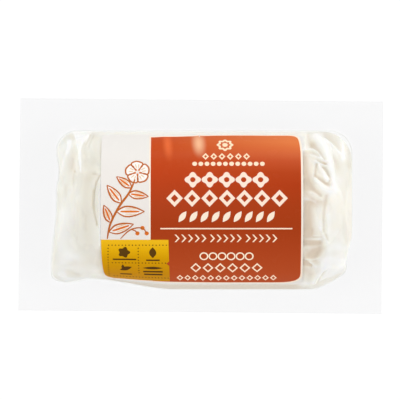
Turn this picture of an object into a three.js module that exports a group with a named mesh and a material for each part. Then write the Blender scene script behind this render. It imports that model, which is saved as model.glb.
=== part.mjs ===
// A short log of soft white cheese, vacuum sealed in a clear film pouch with a glossy label stuck on.
// Units are millimetres and +Z is up. The pouch lies flat on its back web, with the label up.
// The origin is the middle of the pouch's underside, and +X runs along the log.

import * as THREE from "three";

// The film: a pocket web pulled tight over the log and a flat back web, sealed together all round.
const FILM_LENGTH = 109;
const FILM_WIDTH = 63.8;
const FILM_THICKNESS = 0.5;
const FILM_FILLET = 2.5;

// The log: upright sides up to the widest level, and a half-oval dome over them.
const LOG_LENGTH = 87.8;
const LOG_WIDTH = 47;
const LOG_HEIGHT = 31;
const WIDEST_LEVEL = 12.5;
const END_ROUNDING = 6.5;
const TOP_CORNER_RADIUS = 15;
const CORNER_RADIUS = { rightBack: 6.5, rightFront: 9.5, leftBack: 4.5, leftFront: 4.5 };

// The log lies a little off the pouch's middle and slightly askew. Its front left side is slimmer, low down
// most of all, so that it stands steeper there.
const LOG_SHIFT = { x: 1, y: -1.25 };
const LOG_TURN = THREE.MathUtils.degToRad(0.55);
const SLIM_DEPTH = 3.3;
const SLIM_START = -8;
const SLIM_RUN = 27;
const SLIM_SHARPNESS = 6;

// The label, bent round the dome: its length lies along X and its width is measured round the dome.
const LABEL_LENGTH = 58.6;
const LABEL_WIDTH = 52.6;
const LABEL_THICKNESS = 0.3;
const LABEL_GAP = 0.3;
const LABEL_CORNER = 2.2;
const LABEL_SHIFT = { along: -0.9, round: 0.6 };
const LABEL_LEAN = { shift: 0.65, start: 9, run: 12 };

// Steps of the surfaces.
const SPLIT_LEVEL = 0.3;
const STEPS = { across: 50, endCurve: 7, endFlat: 9, middle: 14, fillet: 3, arcTable: 400, halving: 40 };
const LABEL_STEPS = { corner: 3, along: 10, round: 20 };

// Folds that the vacuum pressed into the film and the cheese, in the log's own plan, seen from above.
// A fold follows its path; it stands proud where its height is positive and is a valley where negative.
const FOLDS = [
  { path: [[32.8, 22], [36.9, 11.8], [38.1, 3]], width: 1.3, height: 0.9 },
  { path: [[32.8, 18.6], [34.6, 15.7]], width: 1.3, height: -0.7 },
  { path: [[32.1, 10.1], [37, 5.7]], width: 1, height: 0.6 },
  { path: [[30.2, 7.4], [34.1, 4.3]], width: 1.1, height: -0.9 },
  { path: [[33.7, 2.6], [33.7, -3.4]], width: 1.4, height: 0.5 },
  { path: [[36.3, 4.3], [34.9, -2.5], [36, -8.4]], width: 1, height: -0.8 },
  { path: [[34.4, -6.1], [36.3, -9.5]], width: 1, height: 0.5 },
  { path: [[31.6, -11.2], [34.6, -14]], width: 1.5, height: -0.6 },
  { path: [[35.7, -16.8], [34.1, -18.7], [32.2, -22]], width: 1, height: 0.8 },
  { path: [[37.5, -16.2], [39.5, -15.4]], width: 2.2, height: 0.6 },
  { path: [[-35.9, 22.6], [-35.6, 11.6]], width: 1, height: 0.6 },
  { path: [[-38.6, 18.4], [-38.4, 12]], width: 1.3, height: -0.6 },
  { path: [[-31.6, 9.6], [-32.6, 2.6], [-31.8, -4]], width: 1, height: -0.7 },
  { path: [[-34.6, 6], [-34.9, -12]], width: 1.2, height: 0.35 },
  { path: [[-38.2, 8], [-38.4, -14]], width: 1.2, height: -0.35 },
  { path: [[-41, -13.6], [-37.6, -15.4]], width: 1.2, height: 0.5 },
];

const HALF_LENGTH = LOG_LENGTH / 2;
const HALF_WIDTH = LOG_WIDTH / 2;
const DOME_RISE = LOG_HEIGHT - WIDEST_LEVEL;
const FILLET_TOP = FILM_THICKNESS + FILM_FILLET;

// A level runs from 0, where the log is widest, to 1, along its top.
function contourSize(level) {
  const shrink = Math.sqrt(1 - level * level);
  return { halfLength: HALF_LENGTH - END_ROUNDING * (1 - shrink), halfWidth: HALF_WIDTH * shrink };
}

// Each contour is a rectangle with rounded corners, which grow rounder towards the top.
function cornerRadius(x, y, level) {
  const back = x > 0 ? CORNER_RADIUS.rightBack : CORNER_RADIUS.leftBack;
  const front = x > 0 ? CORNER_RADIUS.rightFront : CORNER_RADIUS.leftFront;
  const radius = THREE.MathUtils.lerp(y > 0 ? back : front, TOP_CORNER_RADIUS, level);
  return Math.min(radius, contourSize(level).halfWidth);
}

function isInside(x, y, level) {
  const size = contourSize(level);
  const radius = cornerRadius(x, y, level);
  const overX = Math.abs(x) - (size.halfLength - radius);
  const overY = Math.abs(y) - (size.halfWidth - radius);
  const reach = Math.hypot(Math.max(overX, 0), Math.max(overY, 0)) + Math.min(Math.max(overX, overY), 0);
  return reach <= radius;
}

// Height of the dome over a point of the log's plan.
function domeHeight(x, y) {
  let low = 0;
  let high = 1;
  for (let step = 0; step < STEPS.halving; step += 1) {
    const middle = (low + high) / 2;
    if (isInside(x, y, middle)) {
      low = middle;
    } else {
      high = middle;
    }
  }
  return WIDEST_LEVEL + DOME_RISE * low;
}

function distanceToPath(x, y, path) {
  const point = new THREE.Vector3(x, y, 0);
  const nearest = new THREE.Vector3();
  let least = Infinity;
  for (let index = 1; index < path.length; index += 1) {
    const start = new THREE.Vector3(path[index - 1][0], path[index - 1][1], 0);
    const end = new THREE.Vector3(path[index][0], path[index][1], 0);
    new THREE.Line3(start, end).closestPointToPoint(point, true, nearest);
    least = Math.min(least, nearest.distanceTo(point));
  }
  return least;
}

function foldHeight(x, y) {
  let total = 0;
  for (const fold of FOLDS) {
    total += fold.height * Math.exp(-((distanceToPath(x, y, fold.path) / fold.width) ** 2));
  }
  return total;
}

// From the log's own plan to the pouch: the slim front left side, the turn and the shift.
function inPouch(x, y, z) {
  const slim = SLIM_DEPTH * THREE.MathUtils.smoothstep(SLIM_START - x, 0, SLIM_RUN);
  const lowness = Math.min(Math.max(-y / HALF_WIDTH, 0), 1) ** SLIM_SHARPNESS;
  const slimmed = y * (1 - (slim / HALF_WIDTH) * lowness);
  const point = new THREE.Vector3(x, slimmed, z);
  point.applyAxisAngle(new THREE.Vector3(0, 0, 1), LOG_TURN);
  return point.add(new THREE.Vector3(LOG_SHIFT.x, LOG_SHIFT.y, 0));
}

// Moves a point of a rectangle into the same rectangle with rounded corners.
function roundedCorner(x, y, halfX, halfY, radius) {
  const overX = (Math.abs(x) - (halfX - radius)) / radius;
  const overY = (Math.abs(y) - (halfY - radius)) / radius;
  if (overX <= 0 || overY <= 0) {
    return { x, y };
  }
  const outX = overX * Math.sqrt(1 - overY * overY / 2);
  const outY = overY * Math.sqrt(1 - overX * overX / 2);
  return {
    x: Math.sign(x) * (halfX - radius + radius * outX),
    y: Math.sign(y) * (halfY - radius + radius * outY),
  };
}

function evenSteps(start, end, count) {
  return Array.from({ length: count }, (unused, index) => THREE.MathUtils.lerp(start, end, index / count));
}

// Vertex numbers round the rim of a grid, anticlockwise seen from above.
function rimOfGrid(columns, rows) {
  const at = (column, row) => column * rows + row;
  const rim = [];
  for (let column = 0; column < columns - 1; column += 1) rim.push(at(column, 0));
  for (let row = 0; row < rows - 1; row += 1) rim.push(at(columns - 1, row));
  for (let column = columns - 1; column > 0; column -= 1) rim.push(at(column, rows - 1));
  for (let row = rows - 1; row > 0; row -= 1) rim.push(at(0, row));
  return rim;
}

function gridFaces(columns, rows) {
  const faces = [];
  for (let column = 0; column < columns - 1; column += 1) {
    for (let row = 0; row < rows - 1; row += 1) {
      const near = column * rows + row;
      const far = near + rows;
      faces.push(near, far, far + 1, near, far + 1, near + 1);
    }
  }
  return faces;
}

function ringFaces(inner, outer) {
  const faces = [];
  inner.forEach((start, index) => {
    const next = (index + 1) % inner.length;
    faces.push(start, outer[index], outer[next], start, outer[next], inner[next]);
  });
  return faces;
}

function solidMesh(name, points, faces, material) {
  const geometry = new THREE.BufferGeometry();
  geometry.setAttribute("position", new THREE.Float32BufferAttribute(points.flatMap((p) => p.toArray()), 3));
  geometry.setIndex(faces);
  geometry.computeVertexNormals();
  const mesh = new THREE.Mesh(geometry, material);
  mesh.name = name;
  return mesh;
}

// Places along the log where its dome has a row of points: close together at the folded ends.
function alongKnots(halfLength) {
  const splitAngle = Math.asin(SPLIT_LEVEL);
  const curve = evenSteps(splitAngle, Math.PI / 2, STEPS.endCurve);
  const end = curve.map((angle) => HALF_LENGTH - END_ROUNDING * (1 - Math.cos(angle)));
  end[0] = halfLength;
  const labelEnd = LABEL_LENGTH / 2;
  end.push(...evenSteps(HALF_LENGTH - END_ROUNDING, labelEnd, STEPS.endFlat));
  const middle = evenSteps(-labelEnd, labelEnd, STEPS.middle);
  return [...end.map((x) => -x), ...middle, labelEnd, ...end.reverse()];
}

function acrossKnots(halfWidth) {
  const edgeAngle = Math.acos(SPLIT_LEVEL);
  const angles = evenSteps(-edgeAngle, edgeAngle, STEPS.across);
  const knots = angles.map((angle) => HALF_WIDTH * Math.sin(angle));
  knots[0] = -halfWidth;
  return [...knots, halfWidth];
}

// A point of the split contour as a place that every contour has: a point of the core rectangle,
// from -1 to 1 each way, and the direction from there to the contour.
function rimPlace(x, y, size) {
  const radius = cornerRadius(x, y, SPLIT_LEVEL);
  const coreX = size.halfLength - radius;
  const coreY = size.halfWidth - radius;
  const point = roundedCorner(x, y, size.halfLength, size.halfWidth, radius);
  const overX = Math.abs(point.x) - coreX;
  const overY = Math.abs(point.y) - coreY;
  const signX = Math.sign(x);
  const signY = Math.sign(y);
  if (overX > 0 && overY > 0) {
    return { core: [signX, signY], out: [signX * overX / radius, signY * overY / radius] };
  }
  return overY > 0
    ? { core: [x / coreX, signY], out: [0, signY] }
    : { core: [signX, y / coreY], out: [signX, 0] };
}

function onContour(place, level, spread) {
  const size = contourSize(level);
  const radius = cornerRadius(place.core[0], place.core[1], level);
  return {
    x: place.core[0] * (size.halfLength - radius) + place.out[0] * (radius + spread),
    y: place.core[1] * (size.halfWidth - radius) + place.out[1] * (radius + spread),
  };
}

// Contours below the dome's grid, from the top down: level, spread outwards and height.
function lowerContours() {
  const contours = [2 / 3, 1 / 3, 0].map((share) => {
    const level = SPLIT_LEVEL * share;
    return { level, spread: 0, height: WIDEST_LEVEL + DOME_RISE * level };
  });
  contours.push({ level: 0, spread: 0, height: (WIDEST_LEVEL + FILLET_TOP) / 2 });
  contours.push({ level: 0, spread: 0, height: FILLET_TOP });
  for (let step = 1; step <= STEPS.fillet; step += 1) {
    const angle = (step / STEPS.fillet) * (Math.PI / 2);
    const spread = FILM_FILLET * (1 - Math.cos(angle));
    contours.push({ level: 0, spread, height: FILLET_TOP - FILM_FILLET * Math.sin(angle) });
  }
  return contours;
}

// Pushes the folds into the surface along its own direction, and lets them fade out down the sides.
function foldedPoints(points, plan, faces) {
  const smooth = solidMesh("smooth", points, faces, null).geometry.getAttribute("normal");
  return points.map((point, index) => {
    if (!plan[index]) {
      return point;
    }
    const fade = THREE.MathUtils.smoothstep(point.z, FILLET_TOP, WIDEST_LEVEL);
    const push = foldHeight(plan[index].x, plan[index].y) * fade;
    const direction = new THREE.Vector3().fromBufferAttribute(smooth, index);
    return point.clone().addScaledVector(direction, push);
  });
}

// The film with the log tight inside it: dome, upright sides, fillet and the flat sealed margin.
function sealedPack() {
  const size = contourSize(SPLIT_LEVEL);
  const along = alongKnots(size.halfLength);
  const across = acrossKnots(size.halfWidth);
  const points = [];
  const plan = [];
  for (const x of along) {
    for (const y of across) {
      const radius = cornerRadius(x, y, SPLIT_LEVEL);
      const spot = roundedCorner(x, y, size.halfLength, size.halfWidth, radius);
      points.push(inPouch(spot.x, spot.y, domeHeight(spot.x, spot.y)));
      plan.push(spot);
    }
  }
  const faces = gridFaces(along.length, across.length);
  const rim = rimOfGrid(along.length, across.length);
  const corners = rim.map((vertex) => {
    const x = along[Math.floor(vertex / across.length)];
    const y = across[vertex % across.length];
    return { x: x / size.halfLength, y: y / size.halfWidth, place: rimPlace(x, y, size) };
  });

  let loop = rim;
  const addLoop = (makePoint, keepPlan) => {
    const next = corners.map((corner) => {
      const made = makePoint(corner);
      points.push(made.point);
      plan.push(keepPlan ? made.spot : null);
      return points.length - 1;
    });
    faces.push(...ringFaces(loop, next));
    loop = next;
  };
  for (const contour of lowerContours()) {
    addLoop((corner) => {
      const spot = onContour(corner.place, contour.level, contour.spread);
      return { spot, point: inPouch(spot.x, spot.y, contour.height) };
    }, true);
  }
  for (const height of [FILM_THICKNESS, 0]) {
    addLoop((corner) => ({
      point: new THREE.Vector3(corner.x * FILM_LENGTH / 2, corner.y * FILM_WIDTH / 2, height),
    }), false);
  }
  points.push(new THREE.Vector3(0, 0, 0));
  plan.push(null);
  loop.forEach((vertex, index) => {
    faces.push(points.length - 1, loop[(index + 1) % loop.length], vertex);
  });

  const material = new THREE.MeshStandardMaterial({ color: 0xf0ebe0, roughness: 0.25, metalness: 0 });
  return solidMesh("sealed_pack", foldedPoints(points, plan, faces), faces, material);
}

// Angle on the dome's oval, from straight up, at a distance measured round it from the top.
function angleRoundDome(distance) {
  const step = Math.PI / 2 / STEPS.arcTable;
  let travelled = 0;
  let angle = 0;
  while (travelled < Math.abs(distance)) {
    const middle = angle + step / 2;
    travelled += Math.hypot(HALF_WIDTH * Math.cos(middle), DOME_RISE * Math.sin(middle)) * step;
    angle += step;
  }
  return Math.sign(distance) * angle;
}

// A point of the label: along the log, round the dome and at a clearance over the film.
function labelPoint(along, round, clearance) {
  const low = Math.max(0, -round - LABEL_LEAN.start) / LABEL_LEAN.run;
  const left = Math.max(0, -along / (LABEL_LENGTH / 2));
  const leaned = along + LABEL_LEAN.shift * left * low * low;
  const angle = angleRoundDome(round);
  const sine = Math.sin(angle);
  const cosine = Math.cos(angle);
  const steepness = Math.hypot(DOME_RISE * sine, HALF_WIDTH * cosine);
  const y = HALF_WIDTH * sine + clearance * DOME_RISE * sine / steepness;
  const z = WIDEST_LEVEL + DOME_RISE * cosine + clearance * HALF_WIDTH * cosine / steepness;
  return inPouch(leaned, y, z);
}

function labelKnots(half, count) {
  const corner = evenSteps(half, half - LABEL_CORNER, LABEL_STEPS.corner);
  const middle = evenSteps(-half + LABEL_CORNER, half - LABEL_CORNER, count);
  return [...corner.map((knot) => -knot), ...middle, half - LABEL_CORNER, ...corner.reverse()];
}

// The label: one thin bent sheet with rounded corners, stuck over the film.
function label() {
  const along = labelKnots(LABEL_LENGTH / 2, LABEL_STEPS.along);
  const round = labelKnots(LABEL_WIDTH / 2, LABEL_STEPS.round);
  const points = [];
  for (const clearance of [LABEL_GAP + LABEL_THICKNESS, LABEL_GAP]) {
    for (const x of along) {
      for (const y of round) {
        const spot = roundedCorner(x, y, LABEL_LENGTH / 2, LABEL_WIDTH / 2, LABEL_CORNER);
        points.push(labelPoint(spot.x + LABEL_SHIFT.along, spot.y + LABEL_SHIFT.round, clearance));
      }
    }
  }
  const sheet = along.length * round.length;
  const upper = gridFaces(along.length, round.length);
  const lower = upper.toReversed().map((vertex) => vertex + sheet);
  const rim = rimOfGrid(along.length, round.length);
  const edge = ringFaces(rim, rim.map((vertex) => vertex + sheet));
  const material = new THREE.MeshStandardMaterial({ color: 0xa9421f, roughness: 0.2, metalness: 0 });
  return solidMesh("label", points, [...upper, ...lower, ...edge], material);
}

const goatCheese = new THREE.Group();
goatCheese.add(sealedPack());
goatCheese.add(label());

export default goatCheese;
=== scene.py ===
import math

import bmesh
import bpy
import numpy as np
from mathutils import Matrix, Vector, noise


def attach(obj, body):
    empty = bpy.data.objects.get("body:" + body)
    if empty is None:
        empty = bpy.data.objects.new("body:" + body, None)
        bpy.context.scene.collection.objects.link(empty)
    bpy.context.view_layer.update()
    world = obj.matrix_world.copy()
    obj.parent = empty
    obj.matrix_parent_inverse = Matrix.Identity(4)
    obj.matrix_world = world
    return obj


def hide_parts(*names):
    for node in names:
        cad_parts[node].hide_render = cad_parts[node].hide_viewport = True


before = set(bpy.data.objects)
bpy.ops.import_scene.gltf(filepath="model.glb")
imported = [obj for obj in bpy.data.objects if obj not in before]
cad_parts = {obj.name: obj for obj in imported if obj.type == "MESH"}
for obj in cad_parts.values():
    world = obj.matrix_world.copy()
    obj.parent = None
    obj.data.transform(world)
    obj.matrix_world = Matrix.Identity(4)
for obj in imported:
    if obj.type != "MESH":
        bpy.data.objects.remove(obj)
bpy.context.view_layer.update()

# Cheese log: one short log of fresh white cheese, pressed flat underneath, with a domed top and
# rounded corners. The vacuum draws the film tight over it, so the film's folds are pressed into
# it. Its colour shows whiter where the film stands off it than where the film wets it, and also
# carries painted light: painted highlights on the folds' ridges, painted shade in their valleys
# and painted shade on its front side below the label.
MM = 0.001
HALF_LENGTH = 43.9
HALF_WIDTH = 23.5
WIDEST_LEVEL = 12.5
DOME_RISE = 18.5
END_ROUNDING = 6.5
TOP_CORNER = 15.0
LOG_SHIFT = (1.0, -1.25)
LOG_TURN = math.radians(0.55)
SLIM_DEPTH = 3.3
SLIM_START = -8.0
SLIM_RUN = 27.0
SLIM_SHARPNESS = 6
TOE_DEPTH = 1.2
TOE_START = -33.0
TOE_RUN = 8.0
SLANT_DEPTH = 4.1
SLANT_START = 31.0
SLANT_RUN = 13.0
BULGE = 1.5
BULGE_START = 1.5
BULGE_RUN = 17.5
BULGE_SHARPNESS = 10
TAPER = 1.8
TAPER_START = -6.0
TAPER_RUN = 11.0
WAIST = 0.8
WAIST_PLACE = 11.5
WAIST_WIDTH = 3.5
LABEL_END = 29.3
LABEL_MIDDLE = -0.9
LABEL_FADE = 1.0
SPLIT_LEVEL = 0.3
UPPER_LEVELS = (0.2, 0.1, 0.0)
HALVINGS = 30
PAST_END = 1.1
CHEESE_CORNERS = {"right_back": 9.0, "right_front": 5.0, "left_back": 6.5, "left_front": 5.0}
CHEESE_STEPS = {"curve": 46, "flat": 36, "middle": 24, "across": 216}
CHEESE_EDGE = 4.5
CHEESE_BASE = 0.5
CHEESE_INSET = 0.2
INSET_SHARPNESS = 8
WALL_LOOPS = 7
EDGE_LOOPS = 8
BASE_SHARES = (0.85, 0.6, 0.35, 0.12)
BASE_FADE = 2.0
FILM_GAP = 0.12
RIDGE_SHARE = 0.62
VALLEY_SHARE = 0.95
GRAIN_STRETCH = (2.6, 2.6)
GRAIN_SEED = 5.0
GRAIN_RISE = 0.06
CREASE_SHARPNESS = 6
FACET_FLAT = 0.75
FACET_EDGE = 0.45
FOLD_FOOT = 4.0
FOLD_FULL = 17.0
SHEET_EDGE = math.radians(65)
UPRIGHT_SHARE = 0.25
UPRIGHT_END = 0.45

# The camera is straight above, as far away as the photo's perspective asks. Folds are placed by the
# photo's pixels, seen from there.
CAMERA_HEIGHT = 1.1
CAMERA_PLACE = (-0.00027, 0.0018)
CAMERA_LENS = 330.0
CAMERA_SENSOR = 36.0
PHOTO_WIDTH = 400
PLACING_ROUNDS = 30
PLACING_STEP = 0.8

# Each fold: its profile across, its path in the photo's pixels, its width in millimetres, how far it
# stands proud (a valley where negative) and how much whiter or browner the cheese is painted there.
# That tone is partly the film standing off or wetting the cheese and partly painted light: painted
# highlights on ridges, painted shade in valleys, and lighter strokes along the label's edges that
# paint over the label's shade. A measure is one number all along the path, or its start and its end.
SOFT = "soft"
CREASE = "crease"
FACET = "facet"
FOLDS = [
    # right end, upper part
    (FACET, [(304.5, 131), (304.5, 140), (304.5, 149)], (0.5, 0.4), (0.2, 0.15), (0.24, 0.2)),
    (SOFT, [(308.3, 135), (309, 140), (311.5, 145)], (0.55, 0.8), (-0.2, -0.3), (-0.1, -0.2)),
    (SOFT, [(313.5, 144), (315.5, 147.3), (319, 151), (322, 155), (325, 159)],
     (1.0, 0.4), (-0.3, -0.35), (-0.36, -0.22)),
    (SOFT, [(316, 136), (322, 141), (326, 149), (328.5, 157), (330.5, 165), (332, 174), (332, 183)],
     (1.2, 1.0), (0.8, 0.5), (0.45, 0.35)),
    (CREASE, [(330.3, 147), (332, 155), (333.3, 165), (334.2, 176)], 0.3, (0.3, 0.25), (0.2, 0.15)),
    (CREASE, [(325, 138.5), (329, 142), (334, 147.5), (340, 153.5), (343, 157)],
     (0.4, 0.5), 0.4, (0.4, 0.45)),
    (SOFT, [(324.5, 134.8), (331, 139.3), (337, 145), (340.5, 149.5)],
     (0.9, 0.6), (-0.35, -0.25), (-0.17, -0.1)),
    (SOFT, [(328, 134), (336, 140)], (1.4, 1.2), -0.15, (-0.12, -0.08)),
    (SOFT, [(341.7, 139), (343, 148), (343.5, 158)], (0.55, 0.75), (0.35, 0.3), (0.35, 0.45)),
    (SOFT, [(332.7, 156), (335, 161), (337, 167)], (0.5, 1.1), (-0.3, -0.2), (-0.2, -0.12)),
    (SOFT, [(333, 150.5), (337, 155)], 0.8, 0.05, 0.12),
    (CREASE, [(305.5, 149.2), (313, 149.3), (317, 151.6), (320.5, 156), (322.5, 158.5)],
     (0.35, 0.4), (0.35, 0.4), (0.25, 0.35)),
    (SOFT, [(303, 152.8), (312, 152.1), (316, 153.6), (319, 156)],
     (0.5, 0.35), (-0.2, -0.3), (-0.12, -0.25)),
    (CREASE, [(310.5, 155.3), (316, 156.4), (320, 157.6), (325, 161.4)],
     (0.35, 0.45), (0.25, 0.4), (0.12, 0.22)),
    (CREASE, [(313, 158.3), (317, 159.2), (320.5, 161.2), (326, 163.8)],
     (0.25, 0.5), (-0.1, -0.5), (-0.08, -0.62)),
    (CREASE, [(315, 160.2), (318.5, 162.5), (322, 164.5), (325.5, 165.7)],
     (0.3, 0.4), (0.3, 0.4), (0.3, 0.5)),
    (SOFT, [(316.8, 163.8), (316.3, 168), (315.5, 174)], (0.45, 0.4), -0.3, (-0.35, -0.28)),
    (FACET, [(319.3, 165.5), (323, 172), (327, 179)], (0.45, 0.75), (0.45, 0.5), (0.25, 0.42)),
    (SOFT, [(320.7, 169.5), (323, 175.3)], 0.25, -0.1, -0.17),
    (SOFT, [(323, 166.3), (326.3, 170), (328.8, 175), (330.3, 181)], (0.6, 0.5), -0.4, (-0.33, -0.28)),
    (SOFT, [(315.5, 175.8), (319, 178.3), (323, 181), (327, 183.3), (329.7, 184.8)],
     (0.45, 0.7), (-0.4, -0.65), (-0.42, -0.5)),
    (SOFT, [(315.7, 178.8), (319, 183), (323.5, 187.6), (328, 189.7), (334, 190)],
     (0.55, 1.2), (0.5, 0.6), (0.45, 0.5)),
    (SOFT, [(305, 182.5), (309, 186), (314, 189.3), (318, 192.7), (320.5, 195)],
     (1.0, 0.55), (-0.25, -0.5), (-0.25, -0.38)),
    (SOFT, [(304.5, 157), (306, 172), (308, 184)], (1.5, 1.7), -0.1, (-0.3, -0.42)),
    (SOFT, [(304, 184), (305, 196)], 1.1, -0.05, (-0.25, -0.2)),
    (CREASE, [(311, 192), (315, 194.2), (319, 197.6), (321.5, 200)],
     (0.35, 0.4), (0.25, 0.3), (0.18, 0.16)),
    (SOFT, [(307, 194.5), (311, 197), (317, 201.5)], 0.5, (-0.1, -0.15), (-0.1, -0.15)),
    (CREASE, [(304, 198.5), (309, 199.7), (315, 201.7)], 0.4, 0.15, (0.2, 0.15)),
    (SOFT, [(326.6, 196), (325.6, 203), (323.8, 211), (323.2, 220), (323.2, 232)],
     (0.6, 0.4), (-0.4, -0.25), (-0.25, -0.2)),
    (SOFT, [(318.2, 209), (318.6, 218), (320.8, 228)], (1.0, 0.6), 0.3, (0.02, 0.3)),
    (SOFT, [(311.5, 201), (315.5, 204.5), (321.5, 202.5)], (1.0, 1.1), -0.05, (-0.24, -0.28)),
    (SOFT, [(303.8, 158), (303.8, 172)], 0.8, 0, -0.25),
    (SOFT, [(329.3, 176), (331, 183)], 0.7, 0, -0.18),
    # right end, lower part
    (SOFT, [(307.5, 205.5), (308, 220), (308, 234)], (1.6, 1.9), -0.1, (-0.45, -0.5)),
    (SOFT, [(305, 231), (304.5, 235)], 0.35, -0.1, -0.3),
    (SOFT, [(311.5, 230), (311, 233.5)], 0.45, -0.1, -0.2),
    (SOFT, [(327.8, 207), (327.6, 233)], 0.5, 0.15, (0.18, 0.15)),
    (CREASE, [(320.5, 228), (323, 235), (325.7, 240), (328, 243.3)], (0.35, 0.4), (0.35, 0.45), 0.35),
    (SOFT, [(325.8, 234.5), (328, 241)], 0.28, (-0.15, -0.2), -0.22),
    (CREASE, [(306, 239.3), (312, 239), (321, 239)], (0.22, 0.26), (0.08, 0.18), (0.1, 0.3)),
    (CREASE, [(313.5, 235.6), (321, 236)], 0.22, 0.08, (0.12, 0.15)),
    (SOFT, [(313, 237.4), (321.5, 237.4)], 0.25, -0.1, (-0.18, -0.2)),
    (SOFT, [(303, 243.2), (312, 243.4), (320, 243)], (0.9, 0.7), -0.2, (-0.5, -0.42)),
    (SOFT, [(304, 247.5), (312, 247.3)], 0.4, 0.05, (0.05, 0)),
    (SOFT, [(314.5, 252.8), (319.3, 250.4)], (1.7, 1.5), -0.35, (-0.48, -0.45)),
    (SOFT, [(306, 251), (305, 257)], 1.0, -0.05, -0.2),
    (SOFT, [(309.5, 256.3), (316.5, 255.6)], (1.0, 0.9), -0.05, (-0.3, -0.26)),
    (SOFT, [(303.5, 284), (308.5, 284.5)], 0.8, 0, 0.35),
    (CREASE, [(305, 259.2), (312, 260.2), (318.5, 258.3)], (0.25, 0.28), (0.2, 0.22), (0.3, 0.2)),
    (SOFT, [(304, 262.3), (307.5, 263.8), (311.5, 265.8)], (0.85, 0.4), (-0.25, -0.35), (-0.85, -0.6)),
    (CREASE, [(309.5, 262.3), (313, 264.8), (316.5, 267.2)], (0.25, 0.3), 0.2, (0.3, 0.22)),
    (SOFT, [(314, 261.5), (319, 263.5)], 0.8, -0.15, (-0.25, -0.22)),
    (SOFT, [(304.5, 270), (311, 274.5)], (1.5, 1.3), -0.05, (-0.28, -0.2)),
    (SOFT, [(303, 233), (303, 246)], 0.4, 0, -0.2),
    (SOFT, [(319, 275.5), (314.6, 283)], (0.6, 0.7), 0.1, (0.2, 0.38)),
    (CREASE, [(325.5, 266.5), (321.5, 272.5), (317.5, 278.5), (315, 284)], (0.45, 0.5), (0.35, 0.5), 0.35),
    (SOFT, [(324, 272), (320, 277.5), (317, 282.5), (314.8, 286.5)], 0.45, -0.3, (-0.22, -0.3)),
    (SOFT, [(343, 274), (336, 276.5), (327, 279.7), (319, 283.5)], (0.7, 0.6), -0.2, (-0.2, -0.17)),
    (SOFT, [(328, 264.5), (335, 267), (345, 266)], (2.2, 2.5), (1.0, 0.7), 1.0),
    (SOFT, [(320, 279), (332, 276)], 1.6, 0.05, 0.3),
    (SOFT, [(332, 250), (345, 250)], 2.2, 0.05, 0.25),
    (SOFT, [(336, 252.5), (347, 252.5)], 1.0, -0.05, -0.14),
    (SOFT, [(345, 200), (345, 245)], 1.1, 0, (-0.02, -0.04)),
    (SOFT, [(346.5, 136), (349.5, 146), (350.5, 165)], 1.0, 0, (-0.24, -0.2)),
    (SOFT, [(350, 165), (350, 240)], 1.2, 0, (-0.12, -0.16)),
    (SOFT, [(328.5, 215), (329, 250)], 0.8, 0, 0.12),
    (SOFT, [(338, 236), (339, 254)], 1.6, 0, (0.12, 0.16)),
    (SOFT, [(332.5, 200), (333, 245)], (1.3, 1.4), 0, (0.1, 0.14)),
    (SOFT, [(336, 181), (337, 196)], (1.8, 1.6), 0.1, (0.25, 0.1)),
    # left end, upper part
    (FACET, [(81.8, 129.5), (80.8, 135), (79.3, 142)], (3.0, 1.1), 0.25, (1.0, 0.8)),
    (FACET, [(79.2, 141.5), (79, 149)], (1.0, 0.52), 0.2, 0.6),
    (FACET, [(79, 148.5), (79.4, 158), (80.7, 172)], (0.5, 0.2), (0.15, 0.1), (0.55, 0.35)),
    (SOFT, [(60, 142), (66.5, 136.5), (73.5, 137)], (1.1, 0.9), -0.1, (-0.16, -0.2)),
    (FACET, [(68.9, 141.5), (68.7, 146), (66.8, 152)], (0.8, 0.45), 0.1, (0.38, 0.28)),
    (SOFT, [(66.3, 152), (64, 158), (61.7, 166), (59.5, 173)], (0.5, 0.6), (0.15, 0.1), (0.24, 0.2)),
    (SOFT, [(73.7, 146), (73, 156), (72, 168)], (0.4, 1.75), (-0.1, -0.15), -0.14),
    (SOFT, [(72.3, 159), (71, 168)], 0.5, -0.05, -0.06),
    (SOFT, [(75.6, 160), (76, 170)], 0.3, 0.05, 0.1),
    (SOFT, [(74, 171), (74.4, 171.6)], 0.3, -0.1, -0.3),
    (SOFT, [(91.7, 132), (88.7, 138), (86, 144)], 0.35, (-0.15, -0.1), (-0.27, -0.2)),
    (SOFT, [(94, 134), (91, 140), (88.3, 147)], 0.3, -0.1, (-0.2, -0.16)),
    (SOFT, [(88.7, 134.5), (86, 140.3)], 0.28, 0.1, 0.15),
    (SOFT, [(84, 143), (84.5, 155), (85, 165)], (0.8, 0.9), 0, (-0.14, -0.16)),
    (SOFT, [(95, 137), (95, 152), (92, 172)], (1.7, 2.2), -0.05, (-0.22, -0.2)),
    (SOFT, [(101.7, 144), (100.7, 155), (99.5, 169)], 0.45, -0.1, (-0.12, -0.06)),
    (SOFT, [(62, 179), (61, 184)], 0.8, -0.05, -0.1),
    # left end, lower part
    (CREASE, [(99.7, 175.5), (96.7, 181.5), (94.7, 189), (93.5, 197), (93.4, 206), (94.5, 214), (97, 225)],
     (0.36, 0.34), -0.3, (-0.55, -0.62)),
    (SOFT, [(93.3, 191), (93.5, 208)], 0.42, -0.15, -0.26),
    (SOFT, [(98, 184), (97, 200), (98, 216)], 0.5, 0.1, -0.05),
    (SOFT, [(93, 173.5), (97, 174.5)], 0.4, -0.1, (-0.12, -0.18)),
    (SOFT, [(85.5, 216), (85.6, 231)], 0.3, -0.05, -0.1),
    (SOFT, [(87, 180), (88, 262)], (2.3, 2.6), -0.08, (-0.29, -0.14)),
    (SOFT, [(72.8, 174), (72.8, 189)], (0.4, 0.5), -0.1, (-0.14, -0.1)),
    (SOFT, [(65, 186), (65, 197)], 0.5, -0.05, (-0.12, -0.08)),
    (SOFT, [(71, 192), (71.5, 216)], 0.9, 0.08, 0.08),
    (SOFT, [(77, 205), (77, 240)], 0.3, -0.05, -0.06),
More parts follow.
